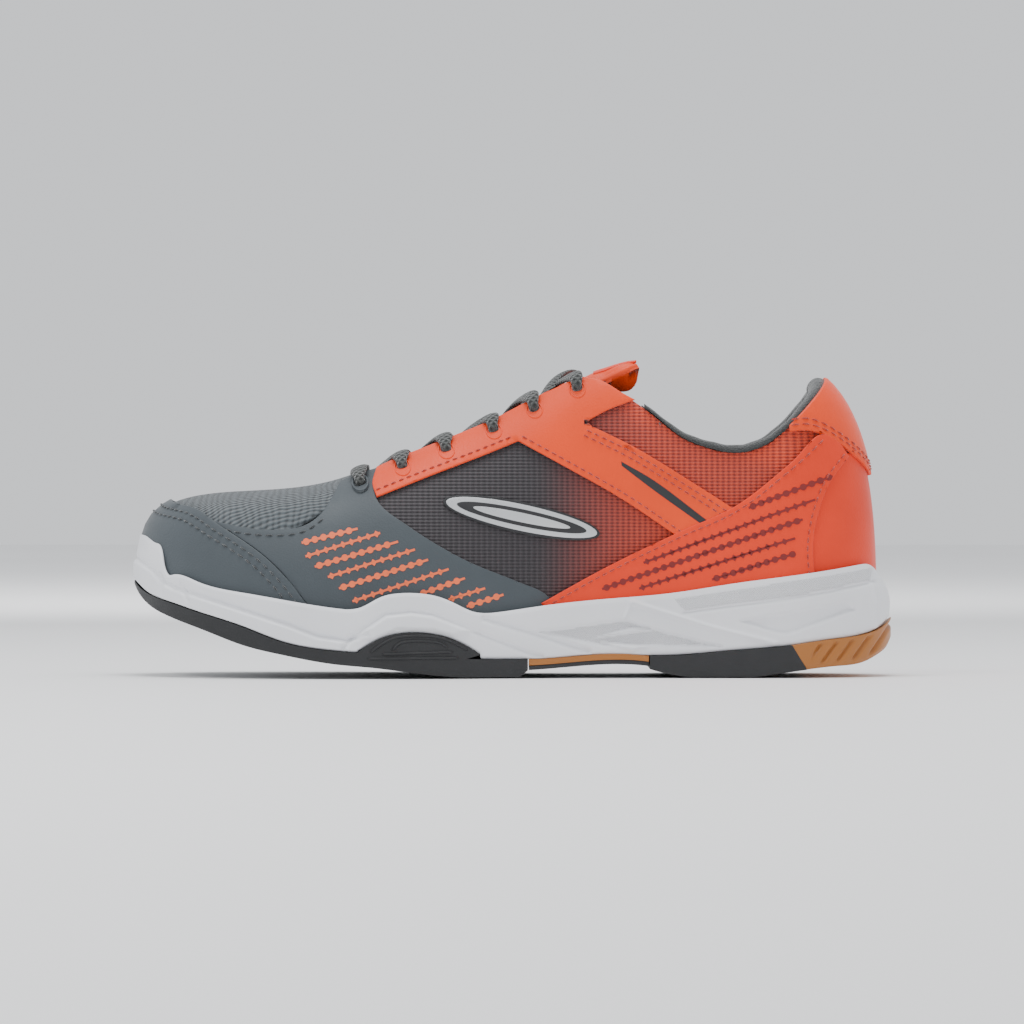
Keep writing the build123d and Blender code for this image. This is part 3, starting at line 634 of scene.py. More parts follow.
def stage():
    """Camera square to the lateral side, pale floor, and soft studio light."""
    low, high = (np.array(c) for c in cad_box)
    middle = (low + high) / 2
    camera_data = bpy.data.cameras.new("camera")
    camera = bpy.data.objects.new("camera", camera_data)
    bpy.context.collection.objects.link(camera)
    camera_data.sensor_width = SENSOR_MM
    camera_data.lens = SENSOR_MM * SUBJECT_AWAY / PICTURE_WIDTH
    camera_data.clip_end = 20
    camera.location = (middle[0], high[1] + CAMERA_AWAY, middle[2] + CAMERA_RAISE)
    camera.rotation_euler = (math.radians(CAMERA_ANGLE), 0, math.radians(180))
    bpy.context.scene.camera = camera
    work = bmesh.new()
    bmesh.ops.create_grid(work, x_segments=20, y_segments=20, size=6)
    mesh = bpy.data.meshes.new("floor")
    work.to_mesh(mesh)
    work.free()
    floor = bpy.data.objects.new("floor", mesh)
    floor.location = (0, 0, low[2] - FLOOR_GAP)
    paper = Look("floor_paper", (0.9, 0.9, 0.9), 0.6)
    cloud = paper.noise(0.8, 4.0, paper.where())
    tone = paper.ramp(cloud, (0.3, (0.88, 0.88, 0.885)), (0.7, (0.92, 0.92, 0.925)))
    paper.fill(paper.shader, {"Base Color": tone})
    mesh.materials.append(paper.material)
    bpy.context.collection.objects.link(floor)
    world = bpy.data.worlds.new("studio")
    world.use_nodes = True
    sky = world.node_tree.nodes["Background"].inputs
    sky["Color"].default_value = (0.95, 0.97, 1.0, 1)
    sky["Strength"].default_value = 0.95
    bpy.context.scene.world = world
    for name, spot, size, power in LAMPS:
        data = bpy.data.lights.new(name, "AREA")
        data.shape = "DISK"
        data.size, data.energy = size, power
        lamp = bpy.data.objects.new(name, data)
        lamp.location = spot
        way = unit(np.array(LAMP_AIM) - np.array(spot))
        lamp.rotation_euler = (math.acos(-way[2]), 0, math.atan2(way[0], -way[1]))
        bpy.context.collection.objects.link(lamp)


# ---- Sole

SOLE_LINE = smooth([(-145, 22), (-141, 18.6), (-137, 16.8), (-118.7, 13.9), (-105.3, 12.0), (-83.6, 10.1),
                    (-63, 8.4), (-49, 8.2), (-31, 8.5), (-15, 7.2), (-4, 6.9), (30, 7.6), (58.4, 9.5),
                    (73.3, 10.9), (86.3, 13.5), (100.8, 18.9), (120.4, 25.0), (131.1, 28.4), (139.9, 31.9),
                    (145, 36.4)])
RIM = smooth([(-145, 33), (-143, 37.5), (-139.6, 41.4), (-134, 41.9), (-107.1, 38.0), (-83.6, 34.9),
              (-60, 31.3), (-34, 29.0), (-8, 26.1), (11, 23.7), (35, 24.2), (60, 25.2), (81, 28.1),
              (101, 31.5), (120, 35.9), (129, 38.1), (132.3, 40.2), (134.2, 46.5), (138, 50.2), (143, 52.9),
              (146, 53)])
RIM_BUMP = smooth([(8, 0), (14.5, 0.9), (20.6, 3.6), (26.3, 5.9), (35.1, 7.2), (43.9, 6.8), (49.6, 5.2),
                   (56.7, 1.2), (62, 0)])
OUTRIGGER_TOP = smooth([(11.8, 8.6), (21.8, 14.3), (29.4, 16.4), (36, 17.0), (43.9, 16.4), (48.5, 15.1),
                        (58.4, 9.6)])


def plan(side, station, grow):
    """Plan point of the sole's outline at a station, grown outwards."""
    toe, heel, middle = turns(station)
    x = middle + (TOE_REACH + TOE_GROW * grow) * np.sin(toe) - (HEEL_REACH + HEEL_GROW * grow) * np.sin(heel)
    half = half_width(side, middle) + grow
    return x, side * half * np.cos(toe) * np.cos(heel) + spine(x)


def line_distance(x, z, line):
    """Distance in side view from points to a line through a few points."""
    best = np.full(np.broadcast(x, z).shape, 1e9)
    for (x0, z0), (x1, z1) in zip(line, line[1:]):
        dx, dz = x1 - x0, z1 - z0
        t = np.clip(((x - x0) * dx + (z - z0) * dz) / (dx * dx + dz * dz), 0, 1)
        best = np.minimum(best, np.hypot(x - x0 - t * dx, z - z0 - t * dz))
    return best


def inside_distance(x, z, polygon):
    """How far inside a closed side-view polygon a point lies, negative outside."""
    inside = np.zeros(np.broadcast(x, z).shape, bool)
    closed = list(polygon) + [polygon[0]]
    for (x0, z0), (x1, z1) in zip(closed, closed[1:]):
        crosses = (z0 > z) != (z1 > z)
        inside ^= crosses & (x < x0 + (z - z0) * (x1 - x0) / ((z1 - z0) or 1e-9))
    distance = line_distance(x, z, closed)
    return np.where(inside, distance, -distance)


def ease(value, low, high):
    """Smooth step from 0 at low to 1 at high."""
    t = np.clip((value - low) / (high - low), 0, 1)
    return t * t * (3 - 2 * t)


# Relief of the midsole's lateral side, in side view
TOE_GROOVE = [(144.5, 44.5), (141, 42.6), (137.5, 40.6), (133, 36), (128, 33.5), (104, 26.3), (84, 20.0),
              (73, 15.8), (62, 14.2), (54, 16.5)]
ARCH_LINE = [(63, 11.2), (59.5, 15.2), (47.3, 23.6), (38, 24.6), (29.8, 23.5), (10, 15.5), (-6.9, 8.9),
             (-11.5, 7.6)]
ARCH_FACET = [(59.5, 15.4), (47.3, 23.4), (38, 24.4), (29.8, 23.3), (14, 17.5), (22, 16), (30, 18.2),
              (43, 18.6), (52, 14.5)]
WINDOW = [(-9.2, 17.2), (-16.8, 18.0), (-42.4, 21.6), (-58, 16.8), (-75.6, 12.4), (-79.4, 11.4),
          (-56, 11.6), (-34, 11.8)]
WEDGES = [[(-31.5, 14.8), (-44.8, 18.4), (-53.4, 17.8)], [(-33.2, 13.2), (-45.4, 9.9), (-52, 11.4)]]
HEEL_RECESS = [(-85.9, 21.0), (-126.3, 27.8), (-130.2, 25.2), (-104.6, 16.2), (-102.3, 16.2)]
HEEL_BAND = [(-65, 24.1), (-110, 30.3), (-138, 35.6), (-141, 42), (-108, 37), (-84, 33.6), (-60, 29.6)]
HATCH_MARGIN, WEDGE_MARGIN = 0.7, 0.4
# Line, half its width, and its depth, which is negative for a ridge
GROOVES = [
    (TOE_GROOVE, 0.9, 0.9),
    ([(10.3, 22.0), (-8, 16.5), (-29, 9.6)], 1.0, 1.0),
    (ARCH_LINE, 0.8, 0.8),
    ([(133.6, 38), (132.5, 30.5)], 0.7, 0.8),
    ([(125.6, 35.0), (122.4, 28.6)], 0.7, 0.8),
    ([(-45.4, 28), (-60, 23.4), (-75.6, 18.6), (-99.5, 12.6)], 0.8, -0.9),
    ([(-45.4, 28), (-42.4, 21.6)], 0.7, -0.5),
    ([(-138.0, 35), (-138.6, 17.8)], 0.8, -0.7),
    ([(-65, 24.1), (-110, 30.3), (-140, 35.9)], 0.6, 0.6),
]
# Outline, half the width of its sloping edge, and its height, which is negative for a recess
FACETS = [(ARCH_FACET, 0.9, 0.9), (WINDOW, 0.5, -1.0), (HEEL_RECESS, 0.5, -1.2),
          (WEDGES[0], 0.45, 1.1), (WEDGES[1], 0.45, 1.1)]
BUMPER_RELIEF = 0.7


def sculpt(x, z):
    """Relief of the midsole's side, in millimetres outwards, and where it is hatched."""
    under_groove = ease(np.interp(x, *np.array(TOE_GROOVE[::-1]).T) - z, 0, 1.6)
    relief = BUMPER_RELIEF * ease(x, 50, 66) * under_groove
    for line, wide, deep in GROOVES:
        relief -= deep * np.exp(-((line_distance(x, z, line) / wide) ** 2))
    for outline, edge, high in FACETS:
        relief += high * ease(inside_distance(x, z, outline), -edge, edge)
    hatched = np.maximum(inside_distance(x, z, WINDOW), inside_distance(x, z, HEEL_BAND)) > HATCH_MARGIN
    for wedge in WEDGES:
        hatched &= inside_distance(x, z, wedge) < -WEDGE_MARGIN
    return relief, hatched.astype(float)


def loop_solid(rings):
    """Faces of a closed solid made of rings that run up one side and back down the other, capped across."""
    count = len(rings[0])
    half = count // 2
    faces = net(numbered(len(rings), count), closed=True)
    for base, turn in ((0, 1), ((len(rings) - 1) * count, -1)):
        for i in range(half):
            a, b = base + i, base + i + 1
            c, d = base + (count - i - 1) % count, base + (count - i) % count
            quad = [a, b, c] if d == a or i == 0 else [a, b, c, d]
            if b == c:
                quad = [a, b, d]
            faces.append([int(v) for v in dict.fromkeys(quad[::turn])])
    return np.concatenate(rings), faces


def midsole():
    """Midsole shell as rings round the shoe, with the relief of its sides."""
    steps = 620
    one_side = np.linspace(HEEL_END, TOE_END, steps)
    station = np.concatenate([one_side, one_side[-2:0:-1]])
    side = np.array([LATERAL] * steps + [MEDIAL] * (steps - 2))
    foot_x = plan(side, station, SOLE_GROW)[0]
    low, high = SOLE_LINE(foot_x), RIM(foot_x)
    ball = side > 0
    low = np.where(ball & (foot_x > 12) & (foot_x < 58), np.maximum(low, OUTRIGGER_TOP(foot_x)), low)
    high = high + np.where(ball & (foot_x > 8) & (foot_x < 62), RIM_BUMP(foot_x), 0)
    rings, flats, hatch_masks = [], [], []

    # A ring's tint marks where the sides are hatched; the foam look bumps that hatching and darkens it as
    # painted shade.
    def ring(z, grow, tint=0.0):
        rings.append(np.column_stack([*plan(side, station, grow), z]))
        flats.append(np.column_stack([foot_x, z]))
        hatch_masks.append(np.broadcast_to(tint, z.shape))

    rows = 40
    lean = lambda z: -2.6 * ease(z, 41, 53) * ease(foot_x, 118, 140)
    heel_lean = lambda z: -1.6 * ease(z, 27, 41) * ease(-foot_x, 118, 140)
    ring(low, np.full(low.shape, SOLE_GROW - 1.6))
    for v in np.linspace(0, 1, rows):
        z = low + (high - low) * v
        relief, hatched = sculpt(foot_x, z)
        edge = 0.5 * ease(v, 0.93, 1.0) + 0.4 * ease(0.06 - v, 0, 0.06)
        tuck = 0.9 * np.sin(math.pi * v) - 0.6
        fade = ease(v, 0.0, 0.05) * ease(1 - v, 0.0, 0.06)
        ring(z, SOLE_GROW - 0.6 + relief * fade * 1.5 + 0.35 * tuck - edge + lean(z) + heel_lean(z), hatched)
    lip = SOLE_GROW - 0.3 + lean(high) + heel_lean(high)
    ring(high + 0.25, lip - 1.1)
    ring(high + 0.1, np.maximum(lip - 1.9, CUP_GROW - 0.4 + lean(high)))
    ring(high - 0.8, np.maximum(lip - 2.3, CUP_GROW - 0.6 + lean(high)))
    inner_low = np.minimum(FEATHER(foot_x), high - 3)
    ring(inner_low, np.full(low.shape, 2.2) + lean(high))
    points, faces = loop_solid(rings)
    add_piece("midsole_shell", points, faces, "foam", slot="midsole_foam", stands_for=["midsole"],
              uv=np.concatenate(flats), tint=np.concatenate(hatch_masks))


def heel_gum():
    """Gum heel with slanted grooves, wrapped round the back between the black tread and the midsole."""
    steps = 260
    half = np.linspace(HEEL_END, -101.0, steps)
    station = np.concatenate([half[::-1], half[1:]])
    side = np.array([LATERAL] * steps + [MEDIAL] * (steps - 1))
    bottom_line = smooth([(-146, 16.5), (-144.6, 13.0), (-141, 9.0), (-134.4, 5.6), (-123, 3.9),
                          (-111.5, 2.7), (-100, 1.2)])
    rows = 22
    grid, flats = [], []
    for v in np.linspace(0, 1, rows):
        s = np.minimum(station, -106.3 + 3.4 * v)
        x, _ = plan(LATERAL, s, SOLE_GROW)
        low, high = bottom_line(x), SOLE_LINE(x) - 0.1
        z = low + (high - low) * v
        slant = x + 0.75 * (z - 10)
        fade = ease(v, 0.12, 0.3) * ease(1 - v, 0.06, 0.2) * ease(-x, 112, 116)
        groove = fade * np.exp(-(((slant + 118) % 5.6 - 2.8) / 0.75) ** 2)
        grow = SOLE_GROW - 0.15 - 1.25 * groove - 0.5 * (1 - ease(v, 0, 0.16))
        grid.append(np.column_stack([*plan(side, s, grow), z]))
        flats.append(np.column_stack([x, z]))
    count = len(station)
    numbers = numbered(rows, count)
    faces = net(numbers)
    for base in (0, (rows - 1) * count):
        for i in range(count // 2):
            quad = [base + i, base + i + 1, base + count - 2 - i, base + count - 1 - i]
            faces.append(list(dict.fromkeys(quad)))
    faces.append(numbers[:, 0].tolist() + numbers[::-1, -1].tolist())
    faces = [f for f in faces if len(f) > 2]
    add_piece("gum_heel", np.concatenate(grid), faces, "gum", slot="gum_rubber",
              stands_for=["outsole_heel_gum"], uv=np.concatenate(flats), tint=np.zeros(rows * count))


def outrigger_ribs():
    """Raised ribs of the rubber that wraps up the lateral side at the ball."""
    frame_line = [(16.5, 10.2), (24, 14.0), (31, 15.6), (43, 15.2), (47.2, 13.6), (53, 9.6)]
    ribs = [frame_line, [(22, 9.6), (48.5, 8.8)], [(24, 11.4), (27.5, 13.2), (41.5, 13.2), (45, 10.4)],
            [(20, 7.4), (54, 7.2)]]
    parts = []
    for line in ribs:
        path = through(line, spacing=1.0)
        turn = circle(8)
        x, z = path.T
        px, py = plan(LATERAL, x, SOLE_GROW + 0.05)
        tangent = unit(np.gradient(path, axis=0))
        fat = 0.55 * np.minimum(1, np.minimum(np.arange(len(x)) + 1, len(x) - np.arange(len(x))) / 2)
        rings = []
        for t in turn:
            lean = fat * math.cos(t)
            rings.append(np.column_stack([px - tangent[:, 1] * lean, py + fat * math.sin(t),
                                          z + tangent[:, 0] * lean]))
        points = np.stack(rings, axis=1).reshape(-1, 3)
        parts.append((points, tube_faces(len(x), 8)))
    points, faces = merge(parts)
    add_piece("outrigger_ribs", points, faces, "rubber", slot="black_rubber", uv=points[:, [0, 2]],
              tint=np.zeros(len(points)))


# ---- Upper: panels of each side, from side-view outlines of (x, z)

# How far outside the last the inner and outer face of each layer lie
MESH, OVERLAY, EYESTAY, SLIT_FILM = (-0.8, 0.0), (0.05, 0.85), (0.9, 1.7), (1.66, 1.8)
WING, FOXING, BACK_TAB = (1.6, 2.45), (0.1, 0.85), (1.0, 2.4)

TOE_SEAM = [(127.5, 66.6), (118, 61.8), (108, 55.2), (99, 49.6), (91.6, 44.1), (83.2, 35.7), (77.1, 27.7)]
WINDOW_LOW_EDGE = [(120.2, 62.4), (108, 57.4), (93.5, 55.2), (79.4, 56.3), (70.2, 62.4)]
EYE_TOP = [(50.8, 78.0), (43.5, 81.2), (27.1, 87.7), (7.8, 95.7), (-5.7, 102.7), (-18, 109.0), (-27, 112.6)]
EYE_LOW = [(50.8, 67.0), (30, 75.4), (12, 82.4), (-2.5, 88.4)]
STRAP_LOW = [(-2.5, 88.4), (-20, 79.0), (-42, 66.6), (-66, 50.4)]
STRAP_HIGH = [(-88, 60.5), (-70, 72.0), (-47, 86.0), (-27.5, 95.5)]
EYE_REAR = [(-27.5, 95.5), (-36, 100.2), (-46.5, 104.2)]
WING_TOP = [(-10.7, 27.7), (-35, 41.0), (-62.8, 54.4), (-84.4, 64.3), (-104.6, 80), (-116, 91),
            (-122, 88.5), (-126.3, 82.8)]
WING_REAR = [(-126.3, 82.8), (-119.1, 72.7), (-114.6, 60), (-113, 48), (-113.9, 36)]
SLIT = [(-41.2, 81.0), (-54, 73.6), (-74, 58.6), (-71, 57.8), (-53, 70.6), (-41.4, 79.4)]
BADGE_MIDDLE, BADGE_SIZE, BADGE_LEAN = (-3.6, 59.9), (29.5, 6.0), 6.0


def join(*runs):
    """One closed outline from several smooth runs, with sharp corners where they meet."""
    out = []
    for run in runs:
        line = through(run)
        out.append(line[:-1] if len(out) < len(runs) - 1 else line)
    outline = np.concatenate(out)
    if np.linalg.norm(outline[0] - outline[-1]) < 0.3:
        outline = outline[:-1]
    return outline


def bite(x_from, x_to, under=3.5):
    """Run along the sole's rim, a little under it."""
    xs = np.linspace(x_from, x_to, max(3, int(abs(x_to - x_from) / 6)))
    return [(x, float(RIM(x)) - under) for x in xs]


def hole_ring(side, row):
    """Raised rim round an eyelet."""
    station = EYELET_STATIONS[row]
    z = TOP_EDGE(station) - EYELET_DROP
    turn, tube = np.meshgrid(circle(20), circle(6), indexing="ij")
    reach = EYELET_RADIUS + EYELET_CORD * np.cos(tube.ravel())
    turn, lift = turn.ravel(), 1.65 + EYELET_CORD * np.sin(tube.ravel())
    points = on_last(side, station + reach * np.cos(turn), z + reach * np.sin(turn), lift)
    numbers = numbered(20, 6)
    return points, net(np.concatenate([numbers, numbers[:1]]), closed=True)


PRINT_ROWS = [((79, 50.2), (58, 55.5)), ((77.5, 45.2), (49.6, 54)), ((74, 41.4), (42.9, 50.8)),
              ((69.1, 37.6), (36.6, 47.9)), ((64.9, 33.4), (31.7, 44.1)), ((59.9, 28.6), (24, 40.6)),
              ((35.1, 31.1), (17.9, 37.2)), ((24, 29.2), (10.3, 33.4)), ((17.2, 26.6), (3.4, 31.0))]
WING_ROWS = [((-89.3, 63.5), (-120.0, 75.4)), ((-49.6, 42.9), (-113.7, 66.6)),
             ((-33.8, 33.0), (-109.2, 59.2)), ((-47.9, 33.2), (-106.5, 52.1)),
             ((-75.5, 36.6), (-106.5, 46.4))]


def shifted(run, by):
    """Smooth open run moved sideways by a small distance, to its left."""
    line = through(run)
    along = unit(np.gradient(line, axis=0))
    return line + np.column_stack([-along[:, 1], along[:, 0]]) * by


def print_chain(start, end, kind):
    """Small raised marks of one printed row: rings joined by bars, or thorns on a line."""
    start, end = np.array(start, float), np.array(end, float)
    length = np.linalg.norm(end - start)
    along = (end - start) / length
    across = np.array([-along[1], along[0]])
    shapes = []
    step = length / max(2, round(length / 2.5))
    for s in np.arange(0, length - step / 2, step):
        near, far = start + along * s, start + along * (s + step)
        shapes.append([near - across * 0.42, far - across * 0.42, far + across * 0.42, near + across * 0.42])
    for s in np.arange(1.8, length - 1.0, 3.3):
        middle = start + along * s
        if kind == "rings":
            turn = circle(12)
            shapes.append([middle + 1.25 * (along * math.cos(t) + across * math.sin(t)) for t in turn])
        else:
            shapes.append([middle - along * 1.5, middle - along * 0.4 - across * 1.3, middle + along * 0.9,
                           middle - along * 0.4 + across * 1.3])
    return shapes


def prints(name, rows, side, distance, look):
    """All the printed rows of one panel, as one piece."""
    shapes = []
    for number, (start, end) in enumerate(rows):
        shapes += print_chain(start, end, "rings" if number % 2 == 0 else "thorns")
    flat = to_station(np.concatenate(shapes))
    total = len(flat)
    layers = [on_last(side, flat[:, 0], flat[:, 1], np.full(total, distance + d)) for d in (0.12, -0.15)]
    faces, base = [], 0
    for shape in shapes:
        ring = [base + i for i in range(len(shape))]
        faces += [ring, [total + i for i in reversed(ring)]]
        faces += [[i, j, total + j, total + i] for i, j in zip(ring, ring[1:] + ring[:1])]
        base += len(shape)
    add_piece(name, np.concatenate(layers), faces, look, flat=True)


def side_upper(name, side):
    """Panels, stitches, prints and badge of one side."""
    overlay = join([TOE_SEAM[-1]] + [(80.4, 31.9), (87, 39.8), (95, 46.8), (104, 52.8), (116, 59.6)],
                   [(116, 59.6), (108, 57.4), (93.5, 55.2), (79.4, 56.3), (72.5, 60.6), (68, 67),
                    (65, 73.4)], [(65, 73.4), (58, 76.2), (50.8, 78.4)],
                   [(50.8, 78.4), (50.8, 66.6), (38.5, 56.3), (17.9, 44.1), (-2.5, 35.7), (-12, 31.5),
                    (-17.8, 25.0)], bite(-17.8, 77.1))
    panel(f"vamp_overlay_{name}", to_station(overlay), side, OVERLAY, "grey", slot="grey_synthetic",
          stands_for=[f"vamp_overlay_{name}"])
    eyestay = join(EYE_TOP, [(-27, 112.6), (-34, 111.2), (-42, 106.6), (-46.5, 104.2)], EYE_REAR[::-1],
                   STRAP_HIGH[::-1], [(-88, 60.5), (-66, 50.4)], STRAP_LOW[::-1], EYE_LOW[::-1],
                   [(50.8, 67.0), (52.4, 72), (50.8, 78.0)])
    panel(f"eyestay_{name}", to_station(eyestay), side, EYESTAY, "orange", slot="orange_synthetic",
          stands_for=[f"eyestay_{name}", f"quarter_strap_{name}"])
    slit = join(SLIT[:3], SLIT[2:4], SLIT[3:], [SLIT[-1], SLIT[0]])
    panel(f"strap_slit_{name}", to_station(slit), side, SLIT_FILM, "dark_print", rounding=0.05)
    wing = join(WING_TOP, WING_REAR, bite(-113.9, -14, 3.5), [(-14, float(RIM(-14)) - 3.5), (-10.7, 27.7)])
    panel(f"heel_wing_{name}", to_station(wing), side, WING, "wing", slot="orange_synthetic",
          stands_for=[f"heel_wing_{name}"])
    eyestay_rows = [(EYE_LOW, -2.2), (STRAP_LOW, -2.2), (STRAP_HIGH, -2.2), (STRAP_HIGH, -4.4)]
    wing_rows = [(WING_TOP[:6], 2.0), (WING_REAR, 2.0)]
    vamp_rows = [(WINDOW_LOW_EDGE, 2.2)]
    for part, rows, distance, look in (("eyestay", eyestay_rows, 1.72, "thread_orange"),
                                       ("wing", wing_rows, 2.46, "thread_orange"),
                                       ("vamp", vamp_rows, 0.86, "thread_grey")):
        paths = [to_station(shifted(run, by)) for run, by in rows]
        stitches(f"stitches_{part}_{name}", paths, side, distance, look)
    prints(f"prints_vamp_{name}", PRINT_ROWS, side, 0.86, "orange_print")
    prints(f"prints_wing_{name}", WING_ROWS, side, 2.46, "maroon_print")
    badge(name, side)
    for part, rows, look in (("front", [0], "grey"), ("rims", range(1, EYELET_ROWS), "orange")):
        points, faces = merge([hole_ring(side, row) for row in rows])
        add_piece(f"eyelet_{part}_{name}", points, faces, look)
    quarter_mesh(name, side)


def oval(scale_long, scale_high):
    """Leaning oval round the badge's middle, in side view."""
    turn = circle(72)
    long = BADGE_SIZE[0] * scale_long * np.cos(turn)
    x = BADGE_MIDDLE[0] + long
    z = BADGE_MIDDLE[1] + BADGE_SIZE[1] * scale_high * np.sin(turn) + BADGE_LEAN * long / BADGE_SIZE[0]
    return np.column_stack([x, z])


def badge(name, side):
    """Plain oval badge: dark edge, silver ring, dark field and a silver lens inside."""
    rows = [("edge", 1.0, 1.0, (0.08, 0.62), "dark_print"), ("ring", 0.965, 0.84, (0.55, 0.82), "silver"),
            ("field", 0.83, 0.54, (0.75, 0.88), "dark_print"), ("lens", 0.62, 0.3, (0.82, 1.0), "silver")]
    for part, long, high, layer, look in rows:
        replaced = [f"side_badge_{name}"] if part == "ring" else []
        panel(f"badge_{part}_{name}", to_station(oval(long, high)), side, layer, look, rounding=0.12,
              slot="silver_badge" if look == "silver" else None, stands_for=replaced)


def quarter_mesh(name, side):
    """Knitted quarter under the overlays: from dark at the arch to orange at the heel."""
    edge = [(s, float(TOP_EDGE(s)) - 0.4) for s in np.linspace(HEEL_END, 56, 90)]
    foot = np.linspace(56, HEEL_END, 60)
    foot_x = place(LATERAL, foot, np.zeros_like(foot))[:, 0]
    low = list(zip(foot, FEATHER(foot_x) + 0.3))
    outline = np.array(edge + low)

    def tint(station, z):
        front = ease(-station, 8, 60) * 0.75
        window_two = ease(z + 0.35 * (-station - 40), 84, 104) * ease(-station, 30, 50)
        return np.clip(np.maximum(front, window_two), 0, 1)

    panel(f"quarter_mesh_{name}", outline, side, MESH, "quarter", slot="quarter_mesh", tint=tint,
          stands_for=[f"quarter_mesh_{name}"])


def toe_upper():
    """Toe cap, round the toe in unrolled stations, with its double row of stitches."""
    seam = to_station(TOE_SEAM[1:])
    lateral = [tuple(p) for p in through([(TOE_END, 65.6), (131, 64.6), *seam])]
    stations = np.linspace(seam[-1][0], TOE_END, 24)
    foot = list(zip(stations, np.maximum(RIM(plan(LATERAL, stations, SOLE_GROW)[0]) - 4, 27)))
    mirror = lambda line: [(2 * TOE_END - s, z) for s, z in line]
    outline = np.array(lateral + foot[:-1] + mirror(foot)[::-1] + mirror(lateral)[::-1][:-1])
    panel("toe_cap", outline, LATERAL, EYESTAY, "grey", slot="grey_synthetic", stands_for=["toe_cap"])
    rows = []
    for by in (2.0, 4.2):
        line = shifted(lateral[::3], by)
        rows += [line, mirror(line)]
    stitches("stitches_toe", rows, LATERAL, 1.72, "thread_grey")


def heel_upper():
    """Foxing and back tab, round the heel in unrolled stations."""
    around = lambda half: np.array(half + [(2 * HEEL_END - s, z) for s, z in half[::-1]])
    reach = np.linspace(-107, HEEL_END, 20)
    top = smooth([(-138.5, 80), (-125, 84), (-115, 83), (-107, 77)])
    foot = lambda s: float(RIM(plan(LATERAL, np.array(s), SOLE_GROW)[0])) - 4
    upper = around([(s, float(top(s))) for s in reach[:-1]])
    lower = around([(s, foot(s)) for s in reach[:-1]])[::-1]
    panel("heel_foxing", np.concatenate([upper, lower]), LATERAL, FOXING, "wing",
          slot="orange_synthetic", stands_for=["heel_foxing"])
    low = smooth([(-138.5, 75.0), (-128, 80.5), (-117, 88.5), (-108, 92.6), (-103.5, 92.0)])
    reach = np.linspace(-103.5, HEEL_END, 22)
    upper = around([(s, float(TOP_EDGE(s)) - 0.1) for s in reach[:-1]])
    lower = around([(s, float(low(s))) for s in reach[:-1]])[::-1]
    panel("back_tab", np.concatenate([upper, lower]), LATERAL, BACK_TAB, "orange", slot="orange_synthetic",
          stands_for=["back_tab"], rounding=0.6)
    row = around([(s, float(low(s)) + 2.2) for s in reach[:-1]])
    stitches("stitches_back_tab", [row, row + [0, 2.1]], LATERAL, 2.42, "thread_orange")


def grid_solid(inner, outer):
    """Closed solid between two grids of points."""
    points = np.concatenate([inner.reshape(-1, 3), outer.reshape(-1, 3)])
    number = numbered(*inner.shape[:2])
    total = number.size
    faces = net(number) + [face[::-1] for face in net(number + total)]
    rim = [*number[0, :], *number[1:, -1], *number[-1, -2::-1], *number[-2:0:-1, 0]]
    for a, b in zip(rim, rim[1:] + rim[:1]):
        faces.append([int(a), int(b), int(total + b), int(total + a)])
    return points, faces


def grid_piece(name, inner, outer, u, v, look, **options):
    """Piece between two grids of points, with flat coordinates."""
    points, faces = grid_solid(inner, outer)
    flat = np.tile(np.column_stack([u.ravel(), v.ravel()]), (2, 1))
    return add_piece(name, points, faces, look, uv=flat, **options)


def vamp():
    """Knitted vamp between the overlays, and its lining."""
    wide = smooth([(50, 20), (56, 26), (70, 35), (85, 40), (100, 38), (112, 33), (126, 25), (136, 12)])
    x = np.linspace(58, 136, 68)
    share = np.linspace(-1, 1, 60)
    xs = x[:, None] + 0 * share
    ys = spine(xs) + wide(x)[:, None] * share
    layers = [("vamp_mesh", "vamp", "vamp_mesh", -0.8, 0.02),
              ("vamp_lining", "lining", "lining_cloth", -3.7, -2.9)]
    for name, look, slot, low, high in layers:
        inner, outer = (on_crown(xs, ys, np.full(xs.shape, distance)) for distance in (low, high))
        grid_piece(name, inner, outer, xs, ys, look, slot=slot, stands_for=[name])


# ---- Inside: collar foam cover, rolled edge, linings

FOAM_FRONT, FOAM_DEEP, FOAM_FADE = 62.0, 29.0, 26.0


def foam_thickness(station, share):
    """Foam under the collar: thin at its lower edge and at its front ends."""
    fade = ease(-FOAM_FRONT - station, 0, FOAM_FADE)
    return 1.2 + (2.0 + 2.6 * fade) * np.sin(math.pi * (0.06 + 0.72 * share)) ** 1.2


def round_heel(reach, around):
    """Sides and stations from the lateral side round the heel to the medial side."""
    q = np.linspace(1, -1, around)
    return np.where(q >= 0, LATERAL, MEDIAL), HEEL_END + reach * np.abs(q)


